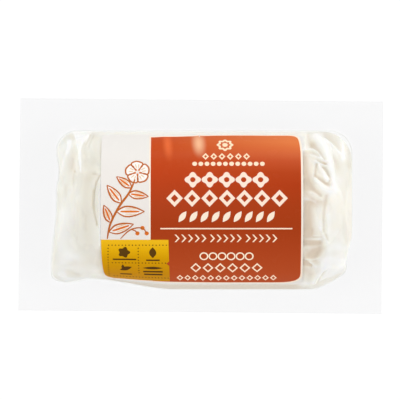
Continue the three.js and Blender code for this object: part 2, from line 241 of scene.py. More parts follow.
    (SOFT, [(63, 214), (62, 262)], (2.0, 2.6), 0.05, (0.28, 0.22)),
    (SOFT, [(58, 195), (56, 225), (54.5, 262)], 0.9, 0, (-0.16, -0.18)),
    (SOFT, [(70, 254), (84, 258)], 2.2, 0.05, (0.18, 0.14)),
    (SOFT, [(64, 268), (74, 270), (92, 271)], (2.2, 2.4), 0.05, (0.2, 0.17)),
    (SOFT, [(68, 256.5), (77, 257.5)], (1.1, 1.0), (0.15, 0.1), (0.12, 0.1)),
    (SOFT, [(63, 266), (67, 265.5), (74, 263.8)], 0.7, -0.15, (-0.16, -0.14)),
    (SOFT, [(84, 257), (97, 263)], 1.2, -0.05, (-0.02, -0.1)),
    (SOFT, [(67, 271.5), (71, 272.5), (77, 275)], (0.8, 0.7), (-0.12, -0.15), (-0.14, -0.2)),
    (SOFT, [(61, 275), (65, 279), (75, 280), (88, 278.5)], (1.0, 0.9), (0.1, 0.05), (0.7, 0.3)),
    (SOFT, [(98.5, 252), (100.5, 272)], 0.9, 0, (-0.22, -0.18)),
    (SOFT, [(100.6, 150), (100.3, 200), (100.2, 245)], 0.28, 0, (0, 0.6)),
]


def smooth(value):
    share = np.clip(value, 0.0, 1.0)
    return share * share * (3.0 - 2.0 * share)


def contour_size(level):
    """Half length and half width of the log at a level: 0 where it is widest, 1 along its top."""
    shrink = np.sqrt(1.0 - level * level)
    return HALF_LENGTH - END_ROUNDING * (1.0 - shrink), HALF_WIDTH * shrink


def corner_radius(x, y, level, corners):
    back = np.where(x > 0, corners["right_back"], corners["left_back"])
    front = np.where(x > 0, corners["right_front"], corners["left_front"])
    low = np.where(y > 0, back, front)
    radius = low + (TOP_CORNER - low) * level
    return np.minimum(radius, contour_size(level)[1])


def dome_height(x, y, corners):
    low = np.zeros_like(x)
    high = np.ones_like(x)
    for _ in range(HALVINGS):
        middle = (low + high) / 2
        length, width = contour_size(middle)
        radius = corner_radius(x, y, middle, corners)
        over_x = np.abs(x) - (length - radius)
        over_y = np.abs(y) - (width - radius)
        past_corner = np.hypot(np.maximum(over_x, 0), np.maximum(over_y, 0))
        inside = past_corner + np.minimum(np.maximum(over_x, over_y), 0) <= radius
        low = np.where(inside, middle, low)
        high = np.where(inside, high, middle)
    return WIDEST_LEVEL + DOME_RISE * low


def in_pouch(x, y, z):
    """From the log's own plan to the pouch: its slim front left side, the slant of its front right
    corner, the bulge and taper of its ends, and the log's turn and shift."""
    slim = SLIM_DEPTH * smooth((SLIM_START - x) / SLIM_RUN) - TOE_DEPTH * smooth((TOE_START - x) / TOE_RUN)
    lowness = np.clip(-y / HALF_WIDTH, 0, 1)
    slant = SLANT_DEPTH * smooth((x - SLANT_START) / SLANT_RUN)
    slimmed = y * (1 - slim / HALF_WIDTH * lowness**SLIM_SHARPNESS - slant / HALF_WIDTH * lowness**2)
    endness = np.clip(-x / HALF_LENGTH, 0, PAST_END) ** BULGE_SHARPNESS
    waist = WAIST * np.exp(-(((y - WAIST_PLACE) / WAIST_WIDTH) ** 2))
    bulge = BULGE * smooth((BULGE_START - y) / BULGE_RUN) - waist
    rightness = np.clip(x / HALF_LENGTH, 0, PAST_END) ** BULGE_SHARPNESS
    x = x - bulge * endness - TAPER * smooth((TAPER_START - y) / TAPER_RUN) * rightness
    across = x * math.sin(LOG_TURN) + slimmed * math.cos(LOG_TURN) + LOG_SHIFT[1]
    along = x * math.cos(LOG_TURN) - slimmed * math.sin(LOG_TURN) + LOG_SHIFT[0]
    return np.stack([along, across, np.broadcast_to(z, along.shape)], axis=1)


def rounded_corner(x, y, half_x, half_y, radius):
    """Moves points of a rectangle into the same rectangle with rounded corners."""
    over_x = np.maximum((np.abs(x) - (half_x - radius)) / radius, 0)
    over_y = np.maximum((np.abs(y) - (half_y - radius)) / radius, 0)
    in_corner = (over_x > 0) & (over_y > 0)
    round_x = half_x - radius + radius * over_x * np.sqrt(1 - over_y**2 / 2)
    round_y = half_y - radius + radius * over_y * np.sqrt(1 - over_x**2 / 2)
    return np.where(in_corner, np.sign(x) * round_x, x), np.where(in_corner, np.sign(y) * round_y, y)


def under_pixels(pixels):
    """Where the photo's pixels fall on the log, in its own plan, seen from the camera."""
    pixels = np.array(pixels, float)
    across = (pixels - PHOTO_WIDTH / 2) * (1, -1) * CAMERA_SENSOR / PHOTO_WIDTH / CAMERA_LENS
    turn = np.array([[math.cos(LOG_TURN), math.sin(LOG_TURN)], [-math.sin(LOG_TURN), math.cos(LOG_TURN)]])
    plan = np.zeros_like(pixels)
    for _ in range(PLACING_ROUNDS):
        height = dome_height(plan[:, 0], plan[:, 1], CHEESE_CORNERS)
        reach = CAMERA_HEIGHT / MM - height[:, None]
        seen = across * reach @ turn + np.array(CAMERA_PLACE) / MM
        plan += PLACING_STEP * (seen - in_pouch(plan[:, 0], plan[:, 1], height)[:, :2])
    return plan


def fold_profile(reach, kind):
    """Height across a fold, from 1 on its path: reach is the distance from it in fold widths."""
    if kind == CREASE:
        return np.exp(1 - np.sqrt(1 + CREASE_SHARPNESS * reach**2))
    if kind == FACET:
        return 1 - smooth((reach - FACET_FLAT) / FACET_EDGE)
    return np.exp(-(reach**2))


def part_way(measure, share):
    """A fold's measure part way along its path."""
    start, end = measure if isinstance(measure, tuple) else (measure, measure)
    return start + (end - start) * share


fold_starts = np.cumsum([len(fold[1]) for fold in FOLDS])[:-1]
fold_knots = np.split(under_pixels([pixel for fold in FOLDS for pixel in fold[1]]), fold_starts)


def fold_relief(plan):
    """How far the folds stand proud over points of the log's plan, and how white they are painted, as
    painted highlight and shade.
    """
    proud = np.zeros(len(plan))
    tone_and_painted_light = np.zeros(len(plan))
    for knots, (kind, _, width, rise, tone) in zip(fold_knots, FOLDS):
        lengths = np.hypot(*np.diff(knots, axis=0).T)
        reached = np.concatenate([[0], np.cumsum(lengths)]) / lengths.sum()
        nearest = np.full(len(plan), np.inf)
        share = np.zeros(len(plan))
        for index, length in enumerate(lengths):
            step = knots[index + 1] - knots[index]
            part = np.clip((plan - knots[index]) @ step / length**2, 0, 1)
            distance = np.hypot(*(plan - knots[index] - part[:, None] * step).T)
            closer = distance < nearest
            nearest = np.where(closer, distance, nearest)
            here = reached[index] + part * (reached[index + 1] - reached[index])
            share = np.where(closer, here, share)
        profile = fold_profile(nearest / part_way(width, share), kind)
        proud += part_way(rise, share) * profile
        tone_and_painted_light += part_way(tone, share) * profile
    return proud, tone_and_painted_light


def fold_fade(height):
    """The folds fade out down the log's sides."""
    return smooth((height - FOLD_FOOT) / (FOLD_FULL - FOLD_FOOT))


def on_slope(normals):
    """How much of a fold's rise shows: all on top of the log, and little on its upright sides."""
    return UPRIGHT_SHARE + (1 - UPRIGHT_SHARE) * smooth(normals[:, 2] / UPRIGHT_END)


def ripple(plan, stretch, seed):
    """Soft uneven waves over the plan, about 1 high, stretched along each direction."""
    return np.array([noise.noise(Vector((x / stretch[0], y / stretch[1], seed))) for x, y in plan])


def past_label(plan):
    """0 under the label and 1 beyond its ends."""
    return smooth((np.abs(plan[:, 0] - LABEL_MIDDLE) - LABEL_END) / LABEL_FADE)


def even_steps(start, end, count):
    return start + (end - start) * np.arange(count) / count


def grid_points(knots_x, knots_y):
    return (part.ravel() for part in np.meshgrid(knots_x, knots_y, indexing="ij"))


def log_knots(steps):
    """Rows of points along and across the dome, close together at its folded ends."""
    length, width = contour_size(SPLIT_LEVEL)
    curve = even_steps(math.asin(SPLIT_LEVEL), math.pi / 2, steps["curve"])
    end = HALF_LENGTH - END_ROUNDING * (1 - np.cos(curve))
    end[0] = length
    end = np.concatenate([end, even_steps(HALF_LENGTH - END_ROUNDING, LABEL_END, steps["flat"])])
    middle = even_steps(-LABEL_END, LABEL_END, steps["middle"])
    along = np.concatenate([-end, middle, [LABEL_END], end[::-1]])
    edge = math.acos(SPLIT_LEVEL)
    across = HALF_WIDTH * np.sin(even_steps(-edge, edge, steps["across"]))
    across[0] = -width
    return along, np.concatenate([across, [width]])


def grid_faces(columns, rows):
    column, row = np.meshgrid(np.arange(columns - 1), np.arange(rows - 1), indexing="ij")
    near = (column * rows + row).ravel()
    return np.stack([near, near + rows, near + rows + 1, near + 1], axis=1)


def grid_rim(columns, rows):
    """Vertex numbers round the rim of a grid, anticlockwise seen from above."""
    near = np.arange(columns - 1) * rows
    right = (columns - 1) * rows + np.arange(rows - 1)
    far = np.arange(columns - 1, 0, -1) * rows + rows - 1
    left = np.arange(rows - 1, 0, -1)
    return np.concatenate([near, right, far, left])


def ring_faces(inner, outer):
    return np.stack([inner, outer, np.roll(outer, -1), np.roll(inner, -1)], axis=1)


def join_rings(points, faces, loop, rings):
    """Joins rings of points on, each to the one before it. Returns the last one's vertex numbers."""
    for ring in rings:
        next_loop = sum(map(len, points)) + np.arange(len(ring))
        points.append(ring)
        faces.append(ring_faces(loop, next_loop))
        loop = next_loop
    return loop


def rim_places(x, y, corners):
    """Where rim points lie on any contour: a place on the core rectangle and the way out from it."""
    length, width = contour_size(SPLIT_LEVEL)
    radius = corner_radius(x, y, SPLIT_LEVEL, corners)
    at_x, at_y = rounded_corner(x, y, length, width, radius)
    core_x = length - radius
    core_y = width - radius
    over_x = np.abs(at_x) - core_x
    over_y = np.abs(at_y) - core_y
    corner = (over_x > 0) & (over_y > 0)
    side = ~corner & (over_y > 0)
    end = ~corner & ~side
    core = np.stack([np.where(side, x / core_x, np.sign(x)), np.where(end, y / core_y, np.sign(y))])
    out_x = np.where(corner, over_x / radius, np.where(end, 1.0, 0.0)) * np.sign(x)
    out_y = np.where(corner, over_y / radius, np.where(side, 1.0, 0.0)) * np.sign(y)
    return core, np.stack([out_x, out_y])


def on_contour(places, level, spread, corners):
    core, out = places
    length, width = contour_size(level)
    radius = corner_radius(core[0], core[1], level, corners)
    x = core[0] * (length - radius) + out[0] * (radius + spread)
    y = core[1] * (width - radius) + out[1] * (radius + spread)
    return x, y


def vertex_normals(points, faces):
    """Unit normals of a mesh of four-sided faces."""
    a, b, c, d = (points[faces[:, corner]] for corner in range(4))
    face_normals = np.cross(c - a, d - b)
    normals = np.zeros_like(points)
    for corner in range(4):
        np.add.at(normals, faces[:, corner], face_normals)
    return normals / np.linalg.norm(normals, axis=1, keepdims=True)


def new_object(name, data):
    item = bpy.data.objects.new(name, data)
    bpy.context.scene.collection.objects.link(item)
    return item


def new_piece(name, points, faces, material, caps=()):
    """A smooth mesh piece from points in millimetres."""
    mesh = bpy.data.meshes.new(name)
    corners = [list(map(int, face)) for face in faces]
    mesh.from_pydata((np.asarray(points) * MM).tolist(), [], corners + list(caps))
    mesh.shade_smooth()
    mesh.set_sharp_from_angle(angle=SHEET_EDGE)
    mesh.materials.append(material)
    return new_object(name, mesh)


def new_material(name):
    """A new material with its output only."""
    material = bpy.data.materials.new(name)
    material.use_nodes = True
    material.node_tree.nodes.clear()
    output = material.node_tree.nodes.new("ShaderNodeOutputMaterial")
    return material, material.node_tree, output


def add_node(tree, kind, settings=None, inputs=None):
    """Adds a node, with its settings by name and its inputs as values or as linked sockets."""
    node = tree.nodes.new(kind)
    for key, value in (settings or {}).items():
        setattr(node, key, value)
    for key, value in (inputs or {}).items():
        if isinstance(value, bpy.types.NodeSocket):
            tree.links.new(value, node.inputs[key])
        else:
            node.inputs[key].default_value = value
    return node


def calculated(tree, operation, *values):
    return add_node(tree, "ShaderNodeMath", {"operation": operation}, dict(enumerate(values))).outputs[0]


def remapped(tree, value, low, high):
    """0 at the low value and 1 at the high one."""
    limits = {"Value": value, "From Min": low, "From Max": high}
    return add_node(tree, "ShaderNodeMapRange", None, limits).outputs["Result"]


def clouds(tree, place, scale, detail):
    settings = {"Vector": place, "Scale": scale, "Detail": detail}
    return add_node(tree, "ShaderNodeTexNoise", None, settings).outputs["Fac"]


def bumps(tree, height, strength, distance):
    settings = {"Strength": strength, "Distance": distance, "Height": height}
    return add_node(tree, "ShaderNodeBump", None, settings).outputs["Normal"]


def mixed(tree, share, first, second):
    """Two colours blended, from the first at 0 to the second at 1."""
    colours = {0: share, 6: first, 7: second}
    return add_node(tree, "ShaderNodeMix", {"data_type": "RGBA"}, colours).outputs[2]


def colour_ramp(tree, value, stops):
    """Colours blended from each stop to the next. Each stop is a value and its colour."""
    ramp = add_node(tree, "ShaderNodeValToRGB", None, {"Fac": value})
    elements = ramp.color_ramp.elements
    for element, (position, colour) in zip(elements, (stops[0], stops[-1])):
        element.position = position
        element.color = (*colour, 1)
    for position, colour in stops[1:-1]:
        elements.new(position).color = (*colour, 1)
    return ramp.outputs["Color"]


def log_skin(corners, steps, contours):
    """The log's dome as a grid and the loops below it. Each contour is a level, a spread outwards
    and a height. Returns the points in the pouch, their places in the plan, the faces, the last
    loop, and where each rim point lies on the grid, from -1 to 1 both ways."""
    along, across = log_knots(steps)
    length, width = contour_size(SPLIT_LEVEL)
    x, y = grid_points(along, across)
    rim = grid_rim(len(along), len(across))
    share = np.stack([x[rim] / length, y[rim] / width])
    places = rim_places(x[rim], y[rim], corners)
    x, y = rounded_corner(x, y, length, width, corner_radius(x, y, SPLIT_LEVEL, corners))
    points = [in_pouch(x, y, dome_height(x, y, corners))]
    plan = [np.stack([x, y], axis=1)]
    faces = [grid_faces(len(along), len(across))]
    rings = []
    for level, spread, height in contours:
        ring_x, ring_y = on_contour(places, level, spread, corners)
        rings.append(in_pouch(ring_x, ring_y, height))
        plan.append(np.stack([ring_x, ring_y], axis=1))
    loop = join_rings(points, faces, rim, rings)
    return np.concatenate(points), np.concatenate(plan), np.concatenate(faces), loop, share


# How warm the paste shows, from greyish to creamy: at the left end, from the label's middle to the
# right, and in places of their own: middle in the photo's pixels, reach in millimetres, change.
PLAIN_PASTE = 0.5
LEFT_WARMTH = 0.55
WARMTH_RUN = 20.0
WARMTHS = [
    ((63, 143), (3.2, 6.0), -0.5),
    ((58, 212), (1.5, 12.0), -0.3),
    ((94, 150), (2.4, 5.5), -0.3),
    ((76, 266), (6.5, 3.6), 0.5),
    ((71, 162), (1.6, 4.0), 0.4),
    ((88, 200), (3.2, 12.0), -0.15),
    ((315, 147), (1.4, 2.0), -0.1),
    ((346, 222), (2.0, 9.0), -0.35),
    ((329, 138), (3.4, 3.0), -0.45),
    ((350, 165), (1.8, 9.0), -0.5),
    ((322, 216), (1.4, 5.0), -0.15),
]
# Painted shade on the log's front side below the label: how much darker the paste is painted there;
# then where that starts and over what run it grows: downwards, to the front, from the ends and upwards.
FRONT_PAINTED_SHADE = 0.44
FRONT_TOP = (24.0, 8.0)
FRONT_OUT = (15.0, 6.0)
FRONT_END = (33.0, 8.0)
FRONT_BASE = (2.0, 9.0)


def side_contours(draft, foot_level, foot_radius, way, loops):
    """Contours below the dome: down the side, which leans out by its draft, and then round a quarter
    turn to its foot, inwards where the way is -1 and outwards where it is 1."""
    top = foot_level + foot_radius
    upper = [(level, 0.0, WIDEST_LEVEL + DOME_RISE * level) for level in UPPER_LEVELS]
    drops = np.linspace(0, 1, WALL_LOOPS + 1)[1:]
    wall = [(0.0, draft * drop**2, WIDEST_LEVEL + (top - WIDEST_LEVEL) * drop) for drop in drops]
    turns = np.linspace(0, math.pi / 2, loops + 1)[1:]
    foot = [
        (0.0, draft + way * foot_radius * (1 - math.cos(turn)), top - foot_radius * math.sin(turn))
        for turn in turns
    ]
    return upper + wall + foot


def front_shade_mask(plan, height):
    """Mask of the painted shade: 1 on the log's front side below the label, and 0 elsewhere."""
    front = smooth((FRONT_TOP[0] - height) / FRONT_TOP[1])
    front *= smooth((-plan[:, 1] - FRONT_OUT[0]) / FRONT_OUT[1])
    front *= smooth((FRONT_END[0] - np.abs(plan[:, 0])) / FRONT_END[1])
    return front * smooth((height - FRONT_BASE[0]) / FRONT_BASE[1])


def make_cheese(material):
    contours = side_contours(0.0, CHEESE_BASE, CHEESE_EDGE, -1, EDGE_LOOPS)
    points, plan, faces, loop, _ = log_skin(CHEESE_CORNERS, CHEESE_STEPS, contours)
    points[:, 0] += CHEESE_INSET * np.clip(-plan[:, 0] / HALF_LENGTH, 0, 1) ** INSET_SHARPNESS
    folds, tone_and_painted_light = fold_relief(plan)
    folds *= past_label(plan)
    fade = fold_fade(points[:, 2])
    middle = points[loop].mean(axis=0)
    parts = [points]
    all_faces = [faces]
    rings = [middle + (points[loop] - middle) * share for share in BASE_SHARES]
    inner = join_rings(parts, all_faces, loop, rings)
    all_points = np.concatenate(parts)
    all_faces = np.concatenate(all_faces)
    normals = vertex_normals(all_points, all_faces)
    grain = GRAIN_RISE * ripple(plan, GRAIN_STRETCH, GRAIN_SEED) * past_label(plan)
    push = folds * fade * np.where(folds > 0, RIDGE_SHARE, VALLEY_SHARE) + grain
    push = push * on_slope(normals[: len(plan)]) - FILM_GAP
    all_points[: len(plan)] += normals[: len(plan)] * (push * smooth(points[:, 2] / BASE_FADE))[:, None]
    cap = [list(map(int, inner[::-1]))]
    piece = new_piece("cheese_log", all_points, all_faces, material, cap)
    front = front_shade_mask(plan, points[:, 2])
    # Painted light: the fold tones paint highlights and shade, and the front below the label gets painted
    # shade.
    stand_off_and_painted_light = np.full(len(all_points), PLAIN_PASTE)
    stand_off_and_painted_light[: len(plan)] += tone_and_painted_light * smooth(points[:, 2] / WIDEST_LEVEL) - FRONT_PAINTED_SHADE * front
    # The painted shade on the front below the label is painted warmer too.
    warmth = np.full(len(all_points), LEFT_WARMTH)
    warmth[: len(plan)] += (1 - LEFT_WARMTH) * np.maximum(smooth(plan[:, 0] / WARMTH_RUN), front)
    for middle, reach, change in WARMTHS:
        away = (plan - under_pixels([middle])) / reach
        warmth[: len(plan)] += change * np.exp(-(away**2).sum(axis=1))
    for name, values in (("stand_off_and_painted_light", stand_off_and_painted_light), ("warmth", warmth)):
        attribute = piece.data.attributes.new(name, "FLOAT", "POINT")
        attribute.data.foreach_set("value", np.clip(values, 0, 1).astype(np.float32))
    return piece


# The paste's colours from where the film wets it to where the film stands off, greyer and warmer. Their
# dark ends also paint the shade in fold valleys and on the front, and their pale ends paint highlights on
# ridges.
PASTE_LEVELS = (0.2, 0.6, 1.0)
GREYER_PASTE = [(0.70, 0.69, 0.585), (0.865, 0.868, 0.81), (0.985, 0.98, 0.96)]
WARMER_PASTE = [(0.70, 0.595, 0.475), (0.875, 0.84, 0.755), (0.985, 0.975, 0.94)]


def cheese_material():
    material, tree, output = new_material("fresh_cheese")
    place = add_node(tree, "ShaderNodeTexCoord")
    stand_off_and_painted_light = add_node(tree, "ShaderNodeAttribute", {"attribute_name": "stand_off_and_painted_light"})
    mottle = clouds(tree, place.outputs["Object"], 160.0, 4.0)
    blend = calculated(tree, "MULTIPLY_ADD", mottle, 0.22, stand_off_and_painted_light.outputs["Fac"])
    greyer, warmer = (
        colour_ramp(tree, blend, list(zip(PASTE_LEVELS, shades))) for shades in (GREYER_PASTE, WARMER_PASTE)
    )
    warmth = add_node(tree, "ShaderNodeAttribute", {"attribute_name": "warmth"})
    grain = clouds(tree, place.outputs["Object"], 1400.0, 3.0)
    paste = add_node(tree, "ShaderNodeBsdfPrincipled", {"subsurface_method": "RANDOM_WALK"}, {
        "Base Color": mixed(tree, warmth.outputs["Fac"], greyer, warmer),
        "Roughness": 0.5,
        "Subsurface Weight": 0.25,
        "Subsurface Radius": (1.0, 0.8, 0.5),
        "Subsurface Scale": 0.0006,
        "Specular IOR Level": 0.3,
        "Normal": bumps(tree, grain, 0.15, 0.0002),
    })
    tree.links.new(paste.outputs["BSDF"], output.inputs["Surface"])
    return material


cheese = make_cheese(cheese_material())
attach(cheese, "root")
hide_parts("sealed_pack")

# Back web of the pouch: the flat sheet of clear film that the log lies on. It is sealed to the
# pocket web all round the log, and the sealed margin lies almost flat.
POUCH_LENGTH = 109.0
POUCH_WIDTH = 63.8
WEB = 0.15
BACK_WEB_STEPS = (72, 42)
MARGIN_WAVE = 0.12
WAVE_ALONG = (5.3, 9.0)
WAVE_ACROSS = (4.1, 17.0)
WAVE_BEND = 1.1
MARGIN_START = 0.78
MARGIN_RUN = 0.2


def margin_wave(x, y):
    """How far the sealed margin lifts off the table: 0 round the log and soft waves at the edges."""
    out = np.maximum(np.abs(x) / (POUCH_LENGTH / 2), np.abs(y) / (POUCH_WIDTH / 2))
    along = np.sin(x / WAVE_ALONG[0] + WAVE_BEND * np.sin(y / WAVE_ALONG[1]))
    across = np.sin(y / WAVE_ACROSS[0] + x / WAVE_ACROSS[1])
    waves = 0.5 + 0.25 * along + 0.25 * across
    return MARGIN_WAVE * waves * smooth((out - MARGIN_START) / MARGIN_RUN)


def film_material():
    material, tree, output = new_material("clear_film")
    place = add_node(tree, "ShaderNodeTexCoord")
    creases = add_node(tree, "ShaderNodeTexVoronoi", {"feature": "DISTANCE_TO_EDGE"}, {
        "Vector": place.outputs["Object"],
        "Scale": 330.0,
        "Randomness": 1.0,
    })
    waves = clouds(tree, place.outputs["Object"], 240.0, 3.0)
    height = calculated(tree, "MULTIPLY_ADD", creases.outputs["Distance"], 0.25, waves)
    creased = bumps(tree, height, 0.12, 0.0003)
    facing = add_node(tree, "ShaderNodeLayerWeight", None, {"Blend": 0.5})
    slant = remapped(tree, facing.outputs["Facing"], 0.3, 0.75)
    tint = mixed(tree, slant, (0.979, 0.979, 0.98, 1), (0.977, 0.978, 0.971, 1))
    clear = add_node(tree, "ShaderNodeBsdfTransparent", None, {"Color": tint})
    gloss = add_node(tree, "ShaderNodeBsdfPrincipled", None, {
        "Base Color": (0.92, 0.92, 0.91, 1),
        "Roughness": 0.16,
        "IOR": 1.5,
        "Normal": creased,
    })
    fresnel = add_node(tree, "ShaderNodeFresnel", None, {"IOR": 1.28, "Normal": creased})
    sides = add_node(tree, "ShaderNodeNewGeometry")
    outside = calculated(tree, "SUBTRACT", 1.0, sides.outputs["Backfacing"])
    sheen = calculated(tree, "MULTIPLY", calculated(tree, "MINIMUM", fresnel.outputs[0], 0.15), outside)
    layers = {0: sheen, 1: clear.outputs[0], 2: gloss.outputs[0]}
    surface = add_node(tree, "ShaderNodeMixShader", None, layers)
    tree.links.new(surface.outputs[0], output.inputs["Surface"])
    return material


def slab_faces(columns, rows):
    """Faces of a thin slab: an upper grid, a lower grid behind it and the edge between them."""
    upper = grid_faces(columns, rows)
    sheet = columns * rows
    rim = grid_rim(columns, rows)
    return np.concatenate([upper, upper[:, ::-1] + sheet, ring_faces(rim, rim + sheet)])


def make_back_web(material):
    knots_x = np.linspace(-POUCH_LENGTH / 2, POUCH_LENGTH / 2, BACK_WEB_STEPS[0] + 1)
    knots_y = np.linspace(-POUCH_WIDTH / 2, POUCH_WIDTH / 2, BACK_WEB_STEPS[1] + 1)
    x, y = grid_points(knots_x, knots_y)
    wave = margin_wave(x, y)
    upper = np.stack([x, y, wave + WEB], axis=1)
    lower = np.stack([x, y, wave], axis=1)
    faces = slab_faces(len(knots_x), len(knots_y))
    return new_piece("back_web", np.concatenate([upper, lower]), faces, material)


clear_film = film_material()
back_web = make_back_web(clear_film)
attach(back_web, "root")
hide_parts("sealed_pack")

# Pocket web of the pouch: the upper sheet of clear film, drawn down over the log by the vacuum.
# It is gathered into folds at the log's two ends, flares out at its foot and is sealed flat.
POCKET_CORNERS = {"right_back": 6.5, "right_front": 3.8, "left_back": 6.0, "left_front": 4.2}
POCKET_STEPS = {"curve": 42, "flat": 30, "middle": 26, "across": 170}
FILLET = 1.7
FILLET_LOOPS = 6
WALL_DRAFT = 0.3
SEAL_TOP = 0.34
MARGIN_LOOPS = 8
# The film's fine drape between its folds: rise, stretch along and across, and seed.
DRAPES = [(0.12, (2.2, 9.0), 11.0), (0.05, (1.1, 2.0), 23.0)]


def make_pocket_web(material):
    contours = side_contours(WALL_DRAFT, SEAL_TOP, FILLET, 1, FILLET_LOOPS)
    points, plan, faces, loop, share = log_skin(POCKET_CORNERS, POCKET_STEPS, contours)
    edge = np.stack([share[0] * POUCH_LENGTH / 2, share[1] * POUCH_WIDTH / 2], axis=1)
    foot = points[loop]
    rings = []
    for step in range(1, MARGIN_LOOPS + 1):
        flat = foot[:, :2] + (edge - foot[:, :2]) * step / MARGIN_LOOPS
        lifted = SEAL_TOP + margin_wave(flat[:, 0], flat[:, 1])
        rings.append(np.column_stack([flat, lifted]))
    parts = [points]
    all_faces = [faces]
    loop = join_rings(parts, all_faces, loop, rings)
    outer = np.concatenate(parts)
    outer_faces = np.concatenate(all_faces)
    normals = vertex_normals(outer, outer_faces)
    fade = fold_fade(points[:, 2])
    drape = sum(rise * ripple(plan, stretch, seed) for rise, stretch, seed in DRAPES)
    push = (fold_relief(plan)[0] + drape) * past_label(plan) * fade * on_slope(normals[: len(plan)])
    outer[: len(plan)] += normals[: len(plan)] * push[:, None]
    normals = vertex_normals(outer, outer_faces)
    inner = outer - normals * WEB
    all_points = np.concatenate([outer, inner])
    shell = [outer_faces, outer_faces[:, ::-1] + len(outer), ring_faces(loop, loop + len(outer))]
    return new_piece("pocket_web", all_points, np.concatenate(shell), material)


pocket_web = make_pocket_web(clear_film)
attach(pocket_web, "root")
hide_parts("sealed_pack")

# Label: one sheet of glossy coated paper with rounded corners, stuck over the pocket web and bent
# round the log's top. It lifts off the film in low waves and ridges, so it is not quite smooth.
LABEL_WIDTH = 52.6
LABEL_ROUND = 0.6
LABEL_CORNER = 2.2
LABEL_UNDER = 0.03
LABEL_TOP = 0.1
RIGHT_RIM = 0.5
LABEL_STEPS = (100, 96)
LEAN_SHIFT = 0.65
LEAN_START = 9.0
LEAN_RUN = 12.0
ARC_STEPS = 600
LABEL_LIFT = 0.05
LIFT_ALONG = (4.3, 7.0)
LIFT_ROUND = 3.9
LIFT_START = 0.8
# Low ridges in the label near its upper edge: place along, place round, width and rise.
LABEL_RIDGES = [(-0.8, 24.0, 1.2, 0.16), (-11.0, 24.0, 1.6, 0.08), (3.5, 25.0, 2.2, 0.06)]
RIDGE_START = 13.0
RIDGE_RUN = 7.0
RIDGE_SLANT = 0.1
PAINTED_SHEEN_TURN = 0.12
RIGHT_START = -12.0
RIGHT_END = 30.0

arc_angles = np.linspace(0, math.pi / 2, ARC_STEPS)
arc_speeds = np.hypot(HALF_WIDTH * np.cos(arc_angles), DOME_RISE * np.sin(arc_angles))
arc_lengths = np.concatenate([[0], np.cumsum((arc_speeds[1:] + arc_speeds[:-1]) / 2 * arc_angles[1])])


def label_wave(along, around):
    """How far the label lifts off the film, in millimetres."""
    waves_along = 1 + np.sin(along / LIFT_ALONG[0] + np.sin(around / LIFT_ALONG[1]))
    waves_round = 1 + np.sin(around / LIFT_ROUND + LIFT_START)
    lift = LABEL_LIFT * (waves_along * waves_round / 2)
    for ridge_along, ridge_round, width, rise in LABEL_RIDGES:
        away = ((along - ridge_along - RIDGE_SLANT * (around - ridge_round)) / width) ** 2
        lift = lift + rise * np.exp(-away) * smooth((around - RIDGE_START) / RIDGE_RUN)
    return lift


def on_label(along, around, clearance):
    """Points of the label: along the log and round the dome from the label's middle."""
    clearance = clearance + label_wave(along, around)
    x = along + LABEL_MIDDLE
    distance = around + LABEL_ROUND
    low = np.maximum(0, -distance - LEAN_START) / LEAN_RUN
    left = np.maximum(0, -x / LABEL_END)
    leaned = x + LEAN_SHIFT * left * low * low
    angle = np.sign(distance) * np.interp(np.abs(distance), arc_lengths, arc_angles)
    sine = np.sin(angle)
    cosine = np.cos(angle)
    steepness = np.hypot(DOME_RISE * sine, HALF_WIDTH * cosine)
    y = HALF_WIDTH * sine + clearance * DOME_RISE * sine / steepness
    z = WIDEST_LEVEL + DOME_RISE * cosine + clearance * HALF_WIDTH * cosine / steepness
    return in_pouch(leaned, y, z)


def shaded_colour_bands(tree, place, shaded_bands):
    """Colours by the place up the label, in millimetres, blended from each to the next: painted light and
    shade.
    """
    low = shaded_bands[0][0]
    high = shaded_bands[-1][0]
    stops = [((level - low) / (high - low), colour) for level, colour in shaded_bands]
    return colour_ramp(tree, remapped(tree, place, low * MM, high * MM), stops)


def varnish_group():
    """Shader group for the faint unevenness of the label's varnish, in its gloss and its surface."""
    group = bpy.data.node_groups.new("label_varnish", "ShaderNodeTree")
    for name, in_out, kind in (
        ("Scale", "INPUT", "NodeSocketFloat"),
        ("Ripple", "INPUT", "NodeSocketFloat"),
        ("Roughness", "OUTPUT", "NodeSocketFloat"),
        ("Normal", "OUTPUT", "NodeSocketVector"),
    ):
        group.interface.new_socket(name, in_out=in_out, socket_type=kind)
    given = add_node(group, "NodeGroupInput")
    place = add_node(group, "ShaderNodeTexCoord")
    mottle = clouds(group, place.outputs["Object"], given.outputs["Scale"], 3.0)
    rough = add_node(group, "ShaderNodeMapRange", None, {"Value": mottle, "To Min": 0.2, "To Max": 0.32})
    add_node(group, "NodeGroupOutput", None, {
        "Roughness": rough.outputs["Result"],
        "Normal": bumps(group, mottle, given.outputs["Ripple"], 0.0002),
    })
    return group


label_varnish = varnish_group()


